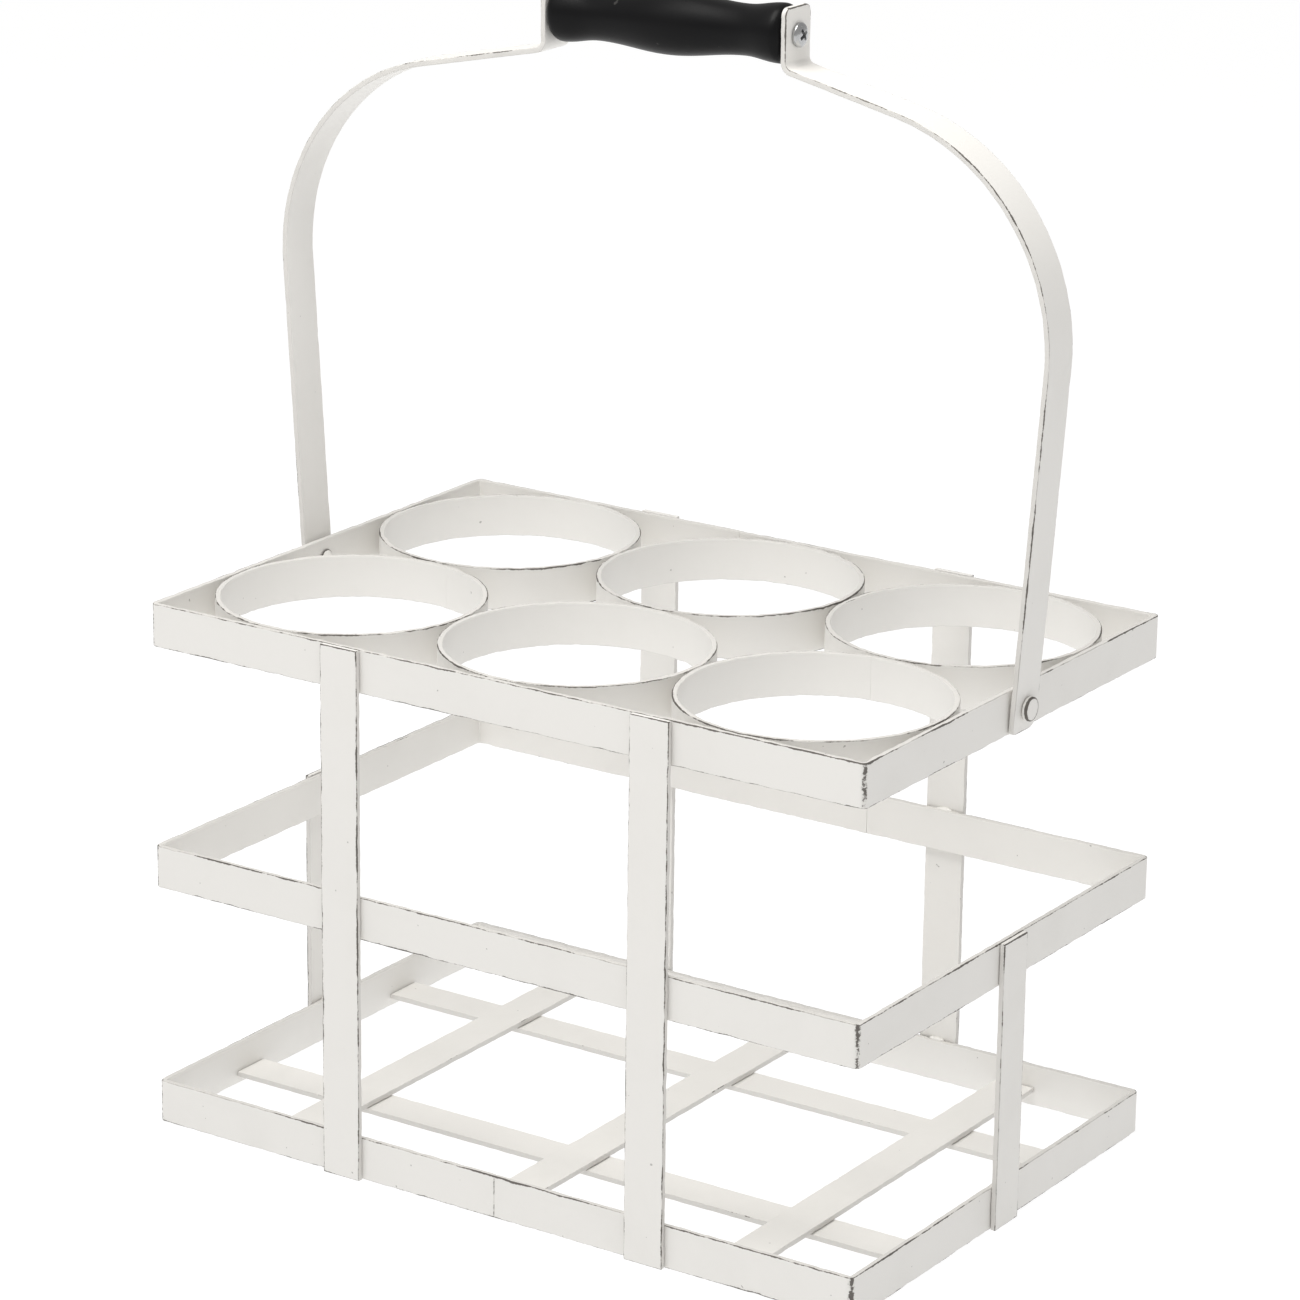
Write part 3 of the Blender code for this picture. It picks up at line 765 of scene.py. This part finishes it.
grip_low, grip_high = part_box("grip")
GRIP_CENTRE = (grip_low + grip_high) / 2
grip_spin = next(joint for joint in frame["joints"] if joint["name"] == "grip_spin")
GRIP_AXIS = Vector(grip_spin["axis"]).normalized()
GRIP_RISE = GRIP_AXIS.z / GRIP_AXIS.x
GRIP_TURN = Matrix.Rotation(-math.atan(GRIP_RISE), 4, "Y")
tab_x = {}
for side, sign in SIDES.items():
    node = side + "_bail_arm"
    low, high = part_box(node)
    inner_face = high.x if sign < 0 else low.x
    tab_x[side] = abs(inner_face) + BAR_THICKNESS / 2
    rise, lean = math.tan(SHOULDER_RISE), math.tan(LEG_LEAN)
    drop = TAB_FOOT_Z[side] - (ARM_PIVOT_X - tab_x[side]) * rise - PIVOT_Z
    crown_up = drop / (1 + lean * rise)
    foot_x = ARM_PIVOT_X - ARM_FOOT * math.sin(LEG_LEAN)
    corners = [
        (sign * foot_x, PIVOT_Z - ARM_FOOT * math.cos(LEG_LEAN), 0),
        (sign * (ARM_PIVOT_X + crown_up * lean), PIVOT_Z + crown_up, CROWN_RADIUS),
        (sign * tab_x[side], TAB_FOOT_Z[side], TAB_BEND_RADIUS),
        (sign * tab_x[side], high.z, 0),
    ]
    radii = (FOOT_FRONT_CORNER, FOOT_REAR_CORNER, TAB_CORNER)
    path, folds = bent_path(corners)
    arm = make_bar(side + "_arm_bar", path, folds, UPRIGHT, ARM_WEAR[side], -sign, radii)
    drill(arm, PIVOT_HOLE_RADIUS, along_x(sign * ARM_PIVOT_X, PIVOT_Z))
    hole_x = sign * tab_x[side]
    hole_z = GRIP_CENTRE.z + (hole_x - GRIP_CENTRE.x) * GRIP_RISE
    drill(arm, TAB_HOLE_RADIUS, along_x(hole_x, hole_z))
    ease_edges(arm, END_BEVEL)
    settle(arm, "bail", [node])

# %% [markdown]
# ## Turned pieces
# Rivets, screws and the grip are round about one axis. A profile turned on that axis makes them.
# The profile's points come from short arcs and eased curves, and its two ends lie on the axis, so
# that each pole closes in a single point.


# %% Lathe helpers
ON_AXIS = 1e-7
PLAIN_DISTANCE = 6.0


def arc(centre_radius, centre_height, radius, start_degrees, end_degrees, steps=6):
    """Profile points on an arc. 0 degrees points out from the axis, 90 points up along it."""
    found = []
    for step in range(steps + 1):
        angle = math.radians(start_degrees + (end_degrees - start_degrees) * step / steps)
        found.append((
            centre_radius + radius * math.cos(angle),
            centre_height + radius * math.sin(angle),
        ))
    return found


def turned(name, profile, segments, place, material, arrises=(), wear=0.0):
    """Turns a profile, top to bottom, round local Z. Arrises are (radius, height) of worn edges."""
    work = bmesh.new()
    rows = []
    for radius, height in profile:
        if radius < ON_AXIS:
            rows.append([work.verts.new((0, 0, height))])
            continue
        angles = [math.tau * k / segments for k in range(segments)]
        ring = [(radius * math.cos(a), radius * math.sin(a), height) for a in angles]
        rows.append([work.verts.new(spot) for spot in ring])
    for upper, lower in zip(rows, rows[1:]):
        for k in range(segments):
            after = (k + 1) % segments
            quad = [upper[k % len(upper)], lower[k % len(lower)]]
            quad += [lower[after % len(lower)], upper[after % len(upper)]]
            unique = [v for j, v in enumerate(quad) if v not in quad[:j]]
            if len(unique) > 2:
                work.faces.new(unique)
    bmesh.ops.recalc_face_normals(work, faces=work.faces)
    mesh = to_mesh(name, work)
    mark_arrises(mesh, arrises, wear)
    mesh.materials.append(material)
    mesh.shade_smooth()
    mesh.set_sharp_from_angle(angle=SHARP_ANGLE)
    mesh.transform(place)
    return new_object(name, mesh)


def mark_arrises(mesh, arrises, wear):
    """Stores how far, in mm, each point is from a worn edge, in the way that bars store it. The
    whole piece counts as an outer face."""
    away = []
    for vertex in mesh.vertices:
        radius = math.hypot(vertex.co.x, vertex.co.y)
        ways = [math.hypot(radius - r, vertex.co.z - h) / MM for r, h in arrises]
        away.append(min([PLAIN_DISTANCE, *ways]))
    away = np.array(away)
    values = {
        "across": BAR_WIDTH / 2 / MM - away,
        "through": np.full(len(away), -BAR_THICKNESS / 2 / MM),
        "tip": away,
        "fold": np.zeros(len(away)),
        "wear": np.full(len(away), wear),
    }
    for label, numbers in values.items():
        mesh.attributes.new(label, "FLOAT", "POINT").data.foreach_set("value", numbers)


# %% [markdown]
# ## Pivot rivets
# A flat round head holds the arm from outside. Inside the hoop the shank is hammered over into a
# low dome. Both were painted with the rest, and both are worn where they are proud.

# %% Two rivets
HEAD_RADIUS = (pivot_high.z - pivot_low.z) / 2
HEAD_THICKNESS = 2 * MM
HEAD_ROUND = 0.5 * MM
SHANK_RADIUS = 2.5 * MM
TAIL_RADIUS = 3.4 * MM
TAIL_HEIGHT = 1.5 * MM
TAIL_FLAT = 1.2 * MM
TAIL_EDGE = 0.2 * MM
TAIL_BULGE = 1.6
HEAD_CROWN = 0.15 * MM
UNDER_ROUND = 0.2 * MM
RIM_WEAR_DROP = 0.3 * MM
RIVET_WEAR = 0.75
RIVET_STEPS = 8
RIVET_SEGMENTS = 64


def rivet_profile(depth):
    """From the head's middle at height 0 down to the tail's tip at -depth."""
    rim = HEAD_RADIUS - HEAD_ROUND
    shares = [k / RIVET_STEPS for k in range(RIVET_STEPS)]
    face = [(rim * share, -HEAD_CROWN * share ** 2) for share in shares]
    top_edge = arc(rim, -HEAD_CROWN - HEAD_ROUND, HEAD_ROUND, 90, 0)
    low_edge = arc(HEAD_RADIUS - UNDER_ROUND, UNDER_ROUND - HEAD_THICKNESS, UNDER_ROUND, 0, -90, 3)
    tail_top = TAIL_HEIGHT - depth
    under = [(SHANK_RADIUS, -HEAD_THICKNESS), (SHANK_RADIUS, tail_top)]
    skirt = [(TAIL_RADIUS - TAIL_EDGE, tail_top), (TAIL_RADIUS, tail_top - TAIL_EDGE)]
    dome = []
    for share in shares[1:]:
        across = TAIL_RADIUS + (TAIL_FLAT - TAIL_RADIUS) * share
        dome.append((across, -depth + (TAIL_HEIGHT - TAIL_EDGE) * (1 - share) ** TAIL_BULGE))
    return [*face, *top_edge, *low_edge, *under, *skirt, *dome, (TAIL_FLAT, -depth), (0, -depth)]


for side, sign in SIDES.items():
    node = side + "_pivot_rivet"
    low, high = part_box(node)
    outer = high.x if sign > 0 else low.x
    depth = high.x - low.x
    edges = [(HEAD_RADIUS, -HEAD_CROWN - RIM_WEAR_DROP), (TAIL_RADIUS, TAIL_HEIGHT - depth)]
    profile = rivet_profile(depth)
    place = along_x(outer, PIVOT_Z, sign)
    rivet = turned(side + "_rivet", profile, RIVET_SEGMENTS, place, white_paint, edges, RIVET_WEAR)
    settle(rivet, "crate", [node])

# %% [markdown]
# ## Black lacquered wood
# The grip is turned hardwood under black satin lacquer. The lacquer hides the colour of the wood,
# but its long grain still shows as a faint relief, and hands have left fine scuffs along it. Noise
# stretched along the axis gives the grain, and a thresholded one gives the scuffs.


# %% Lacquer
LACQUER_DEEP = (0.004, 0.004, 0.0045, 1.0)
LACQUER_BLACK = (0.008, 0.008, 0.0085, 1.0)
LACQUER_SCUFF = (0.075, 0.072, 0.070, 1.0)
GRAIN_STRETCH = (0.09, 1.0, 1.0)
GRAIN_SCALE = 950.0
GRAIN_PORE_SCALE = 2600.0
DULL_PATCH_SCALE = 60.0
SCUFF_SCALE = 420.0
NICK_SCALE = 230.0
NICK_LIMIT = 0.73


def lacquer():
    material, graph, shader = new_material("black_lacquer")
    where = graph.node("ShaderNodeTexCoord", out="Object")
    stretched = graph.node(
        "ShaderNodeMapping", {"vector_type": "POINT"}, {"Vector": where, "Scale": GRAIN_STRETCH}
    )
    grain = noise(graph, stretched, GRAIN_SCALE, detail=4.0, roughness=0.6)
    pores = noise(graph, stretched, GRAIN_PORE_SCALE).ramp(0.60, 0.72)
    cloud = noise(graph, where, DULL_PATCH_SCALE, detail=3.0)
    scuffs = noise(graph, stretched, SCUFF_SCALE, detail=5.0, roughness=0.75).ramp(0.70, 0.80)
    nicks = (noise(graph, where, NICK_SCALE) - NICK_LIMIT).ramp(0.0, HARD_EDGE)
    base = mixed(graph, cloud * 0.5, LACQUER_DEEP, LACQUER_BLACK)
    base = mixed(graph, scuffs * 0.35 + nicks * 0.5, base, LACQUER_SCUFF)
    set_finish(graph, shader, {
        "Base Color": base,
        "Roughness": 0.30 + cloud * 0.12 + scuffs * 0.18,
        "Specular IOR Level": 0.12,
        "Normal": relief(graph, 0.16, 0.12 * MM, grain * 0.6 - pores * 0.5 - nicks),
    })
    return material


black_lacquer = lacquer()

# %% [markdown]
# ## The grip
# A belly for the palm, a neck on each side and a rounded bead at each end. A few shallow turning
# rings are left from the lathe. The ends are bored for the screws.

# %% One grip
GRIP_HALF = 48.0 * MM
BELLY_RADIUS = 11.3 * MM
NECK_RADIUS = 8.9 * MM
BEAD_RADIUS = 10.4 * MM
NECK_INSET = 17.5 * MM
BEAD_ROUND = 3.5 * MM
BORE_DEPTH = 24 * MM
BORE_RADIUS = 2.3 * MM
BORE_MOUTH = 0.4 * MM
TURNING_MARK = 0.02 * MM
TURNING_WAVES = 47
BEAD_STEPS = 12
NECK_STEPS = 16
BELLY_STEPS = 32
GRIP_SEGMENTS = 96


def eased(start, end, share):
    return start + (end - start) * (1 - math.cos(math.pi * share)) / 2


def grip_half_profile():
    """From the bore's floor out to the end face, over the bead and the neck to the belly."""
    bead_end = GRIP_HALF - BEAD_ROUND
    neck = GRIP_HALF - NECK_INSET
    points = [(0, GRIP_HALF - BORE_DEPTH), (BORE_RADIUS, GRIP_HALF - BORE_DEPTH)]
    points += [(BORE_RADIUS, GRIP_HALF - BORE_MOUTH), (BORE_RADIUS + BORE_MOUTH, GRIP_HALF)]
    points += arc(BEAD_RADIUS - BEAD_ROUND, bead_end, BEAD_ROUND, 90, 0, BEAD_STEPS)
    for k in range(1, NECK_STEPS + 1):
        share = k / NECK_STEPS
        points.append((eased(BEAD_RADIUS, NECK_RADIUS, share), bead_end + (neck - bead_end) * share))
    for k in range(1, BELLY_STEPS + 1):
        share = k / BELLY_STEPS
        ripple = TURNING_MARK * math.sin(share * TURNING_WAVES) * (1 - share)
        points.append((eased(NECK_RADIUS, BELLY_RADIUS, share) - abs(ripple), neck * (1 - share)))
    return points


half = grip_half_profile()
whole = half + [(radius, -height) for radius, height in reversed(half[:-1])]
grip_place = Matrix.Translation(GRIP_CENTRE) @ GRIP_TURN @ Matrix.Rotation(QUARTER_TURN, 4, "Y")
grip = turned("turned_grip", whole, GRIP_SEGMENTS, grip_place, black_lacquer)
settle(grip, "grip", ["grip"])

# %% [markdown]
# ## Zinc plated screws
# Each screw has a low domed head with a cross recess, and a thread cut on its shank. The plating
# is bright, with a fine brushed haze. The thread is a ridge that follows a helix, so a tree sweeps
# a small four-sided section along one.


# %% Zinc
ZINC_DULL = (0.40, 0.41, 0.42, 1.0)
ZINC_BRIGHT = (0.58, 0.58, 0.58, 1.0)
HAZE_SCALE = 500.0
SPOT_SCALE = 1500.0


def zinc_plate():
    material, graph, shader = new_material("zinc_plate")
    where = graph.node("ShaderNodeTexCoord", out="Object")
    haze = noise(graph, where, HAZE_SCALE, detail=4.0, roughness=0.6)
    spots = noise(graph, where, SPOT_SCALE).ramp(0.55, 0.75)
    set_finish(graph, shader, {
        "Base Color": mixed(graph, haze, ZINC_DULL, ZINC_BRIGHT),
        "Roughness": 0.14 + haze * 0.12 + spots * 0.10,
        "Metallic": 1.0,
        "Normal": relief(graph, 0.15, 0.05 * MM, haze),
    })
    return material


zinc = zinc_plate()

# %% Two screws
GRIP_PLAY = 0.5 * MM
SEAT_GAP = 0.2 * MM
SCREW_HEAD_RADIUS = 4.3 * MM
SCREW_HEAD_HEIGHT = 2.4 * MM
SCREW_SHANK_RADIUS = 1.55 * MM
SCREW_LENGTH = 24 * MM
THREAD_HEIGHT = 0.42 * MM
THREAD_PITCH = 1.6 * MM
POINT_LENGTH = 4 * MM
RECESS_REACH = 2.5 * MM
RECESS_WIDTH = 1.35 * MM
RECESS_DEPTH = 1.9 * MM
RECESS_TOP_SHARE = 1.35
RECESS_FLOOR_SHARE = 0.55
RECESS_EDGE = 0.08 * MM
RECESS_TURN = {"left": math.radians(68), "right": math.radians(31)}
DOME_SHARE = 0.66
DOME_STEPS = 14
RIM_ROUND = 0.3 * MM
SCREW_SEGMENTS = 64
THREAD_RUN_OUT = 4 * MM
TURN_STEPS = 24
RIDGE_SIDES = 4


def screw_profile():
    """From the top of the domed head, at height 0, down to the point."""
    rim_drop = SCREW_HEAD_HEIGHT * DOME_SHARE
    dome = []
    for k in range(DOME_STEPS + 1):
        angle = QUARTER_TURN * k / DOME_STEPS
        dome.append((SCREW_HEAD_RADIUS * math.sin(angle), -rim_drop * (1 - math.cos(angle))))
    under = arc(SCREW_HEAD_RADIUS - RIM_ROUND, RIM_ROUND - SCREW_HEAD_HEIGHT, RIM_ROUND, 0, -90, 3)
    end = -SCREW_HEAD_HEIGHT - SCREW_LENGTH
    shank = [(SCREW_SHANK_RADIUS, -SCREW_HEAD_HEIGHT), (SCREW_SHANK_RADIUS, end + POINT_LENGTH), (0, end)]
    return [*dome, *under, *shank]


def recess_cutter(place):
    """A cross of tapered blades, narrower at the bottom."""
    work = bmesh.new()
    loops = []
    for height, share in ((RECESS_DEPTH, RECESS_TOP_SHARE), (-RECESS_DEPTH, RECESS_FLOOR_SHARE)):
        long, short = RECESS_REACH * share, RECESS_WIDTH / 2 * share
        loop = []
        for quarter in range(4):
            turn = Matrix.Rotation(QUARTER_TURN * quarter, 2)
            for corner in ((long, -short), (long, short), (short, short)):
                spot = turn @ Vector(corner)
                loop.append(work.verts.new((spot.x, spot.y, height)))
        loops.append(loop)
    work.faces.new(loops[0])
    work.faces.new(list(reversed(loops[1])))
    for k in range(len(loops[0])):
        after = (k + 1) % len(loops[0])
        work.faces.new((loops[0][k], loops[1][k], loops[1][after], loops[0][after]))
    bmesh.ops.recalc_face_normals(work, faces=work.faces)
    bmesh.ops.transform(work, matrix=place, verts=work.verts)
    return new_object("recess", to_mesh("recess", work))


def thread_tree():
    inputs = ("Radius", "Height", "Pitch", "Start", "Length")
    graph, given = new_tree("screw_thread", {
        **{name: "NodeSocketFloat" for name in inputs},
        "Material": "NodeSocketMaterial",
    })
    turns = given["Length"] / given["Pitch"]
    helix = graph.node("GeometryNodeCurveSpiral", {}, {
        "Resolution": TURN_STEPS,
        "Rotations": turns,
        "Start Radius": given["Radius"],
        "End Radius": given["Radius"],
        "Height": given["Length"],
    })
    lowered = graph.node("ShaderNodeCombineXYZ", {}, {"Z": given["Start"]})
    helix = graph.node("GeometryNodeSetPosition", {}, {"Geometry": helix, "Offset": lowered})
    ridge = graph.node(
        "GeometryNodeCurvePrimitiveCircle",
        {"mode": "RADIUS"},
        {"Resolution": RIDGE_SIDES, "Radius": given["Height"]},
    )
    sockets = {"Curve": helix, "Profile Curve": ridge, "Fill Caps": True}
    thread = graph.node("GeometryNodeCurveToMesh", {}, sockets)
    return finish_tree(graph, thread, given["Material"])


screw_thread = thread_tree()
for side, sign in SIDES.items():
    node = side + "_grip_screw"
    head_out = sign * (GRIP_HALF + GRIP_PLAY + BAR_THICKNESS + SEAT_GAP + SCREW_HEAD_HEIGHT)
    quarter = Matrix.Rotation(sign * QUARTER_TURN, 4, "Y")
    place = Matrix.Translation(GRIP_CENTRE + GRIP_AXIS * head_out) @ GRIP_TURN @ quarter
    screw = turned(side + "_screw", screw_profile(), SCREW_SEGMENTS, place, zinc)
    cut_with(screw, recess_cutter(place @ Matrix.Rotation(RECESS_TURN[side], 4, "Z")))
    ease_edges(screw, RECESS_EDGE)
    settle(screw, "grip", [node])
    thread = new_object(side + "_screw_thread", bpy.data.meshes.new("thread"))
    grow(thread, screw_thread, {
        "Radius": SCREW_SHANK_RADIUS,
        "Height": THREAD_HEIGHT,
        "Pitch": THREAD_PITCH,
        "Start": POINT_LENGTH - SCREW_HEAD_HEIGHT - SCREW_LENGTH,
        "Length": SCREW_LENGTH - POINT_LENGTH - THREAD_RUN_OUT,
        "Material": zinc,
    })
    thread.data.transform(place)
    settle(thread, "grip")

# %% [markdown]
# ## Spot welds
# Each joint is held by a small bead of weld, painted over. Beads repeat, and no two are alike, so
# a tree sets a lumpy blob on each marked point, turns it along the seam, varies its size, and
# roughens it. The points carry their own directions.


# %% The weld tree
LUMP_SCALE = 520.0
LEAST_BEAD = (0.8, 0.8, 0.75)
MOST_BEAD = (1.25, 1.2, 1.2)
FAR_FROM_ARRIS = 9.0


def weld_tree():
    inputs = ("Length", "Breadth", "Rise", "Lumpiness")
    graph, given = new_tree("weld_beads", {
        **{name: "NodeSocketFloat" for name in inputs},
        "Seed": "NodeSocketInt",
        "Material": "NodeSocketMaterial",
    })
    blob = graph.node("GeometryNodeMeshIcoSphere", {}, {"Radius": 0.5, "Subdivisions": 4}, out="Mesh")
    sides = {"X": given["Length"], "Y": given["Breadth"], "Z": given["Rise"]}
    size = graph.node("ShaderNodeCombineXYZ", {}, sides)
    blob = graph.node("GeometryNodeTransform", {}, {"Geometry": blob, "Scale": size})
    vector = {"data_type": "FLOAT_VECTOR"}
    turn = graph.node("GeometryNodeInputNamedAttribute", vector, {"Name": "run"})
    limits = {0: LEAST_BEAD, 1: MOST_BEAD, "Seed": given["Seed"]}
    vary = graph.node("FunctionNodeRandomValue", vector, limits)
    beads = graph.node(
        "GeometryNodeInstanceOnPoints",
        {},
        {"Points": given["Geometry"], "Instance": blob, "Rotation": turn, "Scale": vary},
    )
    beads = graph.node("GeometryNodeRealizeInstances", {}, {"Geometry": beads})
    place = graph.node("GeometryNodeInputPosition")
    lumps = noise(graph, place, LUMP_SCALE)
    outward = graph.node("GeometryNodeInputNormal")
    height = (lumps - 0.5) * given["Lumpiness"]
    push = graph.node("ShaderNodeVectorMath", {"operation": "SCALE"}, {0: outward, "Scale": height})
    beads = graph.node("GeometryNodeSetPosition", {}, {"Geometry": beads, "Offset": push})
    plain = {"across": 0.0, "through": -FAR_FROM_ARRIS, "tip": FAR_FROM_ARRIS, "fold": 0.0, "wear": 0.0}
    for name, value in plain.items():
        beads = store(graph, beads, name, value)
    return finish_tree(graph, beads, given["Material"])


weld_beads = weld_tree()

# %% Where the welds are
WELD_SINK = 0.4 * MM
WELD_INSET = 0.5 * MM
ALONG_X = (0, 0, 0)
ALONG_Y = (0, 0, QUARTER_TURN)
WELDED_EDGES = {"top": ("low",), "middle": ("low", "high"), "bottom": ("high",)}
welds = []


def weld(x, y, z, run):
    welds.append(((x, y, z), run))


ring_low, ring_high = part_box("front_left_ring")
ring_radius = (ring_high.x - ring_low.x) / 2
ring_weld_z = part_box("top_frame")[0].z + WELD_SINK
for label, centre in ring_places.items():
    outward = math.copysign(1, centre.y)
    weld(centre.x, centre.y + outward * ring_radius, ring_weld_z, ALONG_X)
    if label.startswith("front"):
        weld(centre.x, centre.y + ring_radius, ring_weld_z, ALONG_X)
    if label.endswith("left"):
        weld(centre.x - ring_radius, centre.y, ring_weld_z, ALONG_Y)
    weld(centre.x + ring_radius, centre.y, ring_weld_z, ALONG_Y)
for level, edges in WELDED_EDGES.items():
    low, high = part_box(level + "_frame")
    heights = [low.z if edge == "low" else high.z for edge in edges]
    for node in POSTS:
        post_low, post_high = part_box(node)
        post = (post_low + post_high) / 2
        if post_high.z < low.z:
            continue
        for height in heights:
            if node.endswith("side_post"):
                if height < post_high.z - MM:
                    weld(math.copysign(high.x - WELD_INSET, post.x), post.y, height, ALONG_Y)
            else:
                weld(post.x, math.copysign(high.y - WELD_INSET, post.y), height, ALONG_X)
for node in LENGTHWISE_SLATS:
    slat_low, slat_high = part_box(node)
    for x in (slat_low.x, slat_high.x):
        weld(x, (slat_low.y + slat_high.y) / 2, slat_low.z + WELD_SINK, ALONG_Y)
for node in CROSS_SLATS:
    slat_low, slat_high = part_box(node)
    for y in (slat_low.y, slat_high.y):
        weld((slat_low.x + slat_high.x) / 2, y, slat_low.z + WELD_SINK, ALONG_X)

points = bpy.data.meshes.new("welds")
points.from_pydata([spot for spot, _ in welds], [], [])
runs = points.attributes.new("run", "FLOAT_VECTOR", "POINT")
runs.data.foreach_set("vector", [number for _, run in welds for number in run])
beads = grow(new_object("weld_beads", points), weld_beads, {
    "Length": 6.0 * MM,
    "Breadth": 2.0 * MM,
    "Rise": 1.3 * MM,
    "Lumpiness": 0.6 * MM,
    "Seed": 5,
    "Material": white_paint,
})
beads.data.shade_smooth()
settle(beads, "crate")
print(len(welds), "welds")

# %% [markdown]
# ## Camera, floor and light
# The crate stands on a pale floor under soft, even light: a bright room, one large lamp to the
# front and left, and one overhead that draws the highlight along the grip. The camera looks down
# on the front right corner through a long lens.

# %% Camera
CAMERA_AT = Vector((0.96543, -1.45613, 0.74775))
CAMERA_YAW = math.radians(33.603)
CAMERA_PITCH = math.radians(17.871)
CAMERA_ROLL = math.radians(0.723)
LENS_MM = 141.8
forward = Vector((
    -math.sin(CAMERA_YAW) * math.cos(CAMERA_PITCH),
    math.cos(CAMERA_YAW) * math.cos(CAMERA_PITCH),
    -math.sin(CAMERA_PITCH),
))
level_right = Vector((math.cos(CAMERA_YAW), math.sin(CAMERA_YAW), 0))
level_up = level_right.cross(forward)
right = level_right * math.cos(CAMERA_ROLL) + level_up * math.sin(CAMERA_ROLL)
up = level_up * math.cos(CAMERA_ROLL) - level_right * math.sin(CAMERA_ROLL)
lens = bpy.data.cameras.new("camera")
lens.sensor_width = 36.0
lens.lens = LENS_MM
camera = bpy.data.objects.new("camera", lens)
bpy.context.scene.collection.objects.link(camera)
camera.matrix_world = Matrix.Translation(CAMERA_AT) @ Matrix((right, up, -forward)).transposed().to_4x4()
bpy.context.scene.camera = camera

# %% Floor and light
FLOOR_SIZE = 24.0
FLOOR_DROP = 0.3 * MM
FLOOR_GREY = (0.20, 0.20, 0.20, 1.0)
FLOOR_GLOW = 0.88
SKY_STRENGTH = 0.475
SKY_COLOUR = (1.0, 0.99, 0.975, 1.0)
LAMP_COLOUR = (1.0, 0.99, 0.97)
CRATE_MIDDLE = Vector((0, 0, 0.2))


def plain_floor():
    material, graph, shader = new_material("pale_floor")
    set_finish(graph, shader, {
        "Base Color": FLOOR_GREY,
        "Roughness": 0.9,
        "Specular IOR Level": 0.1,
        "Emission Color": (1.0, 1.0, 1.0, 1.0),
        "Emission Strength": FLOOR_GLOW,
    })
    work = bmesh.new()
    bmesh.ops.create_grid(work, x_segments=1, y_segments=1, size=FLOOR_SIZE / 2)
    mesh = to_mesh("floor", work)
    mesh.materials.append(material)
    floor = new_object("floor", mesh)
    floor.location.z = -FLOOR_DROP
    return floor


def softbox(name, place, size, watts):
    """A square lamp that looks at the middle of the crate."""
    lamp = bpy.data.lights.new(name, "AREA")
    lamp.size = size
    lamp.energy = watts
    lamp.color = LAMP_COLOUR
    holder = bpy.data.objects.new(name, lamp)
    holder.location = place
    holder.rotation_euler = (CRATE_MIDDLE - Vector(place)).to_track_quat("-Z", "Y").to_euler()
    bpy.context.scene.collection.objects.link(holder)


plain_floor()
softbox("key", (-0.9, -1.7, 2.3), 1.6, 9.0)
softbox("overhead", (0.0, -0.34, 1.45), 0.8, 13.6)
world = bpy.data.worlds.new("room")
bpy.context.scene.world = world
world.use_nodes = True
background = world.node_tree.nodes["Background"]
background.inputs["Color"].default_value = SKY_COLOUR
background.inputs["Strength"].default_value = SKY_STRENGTH
bpy.context.scene.view_settings.view_transform = "Standard"
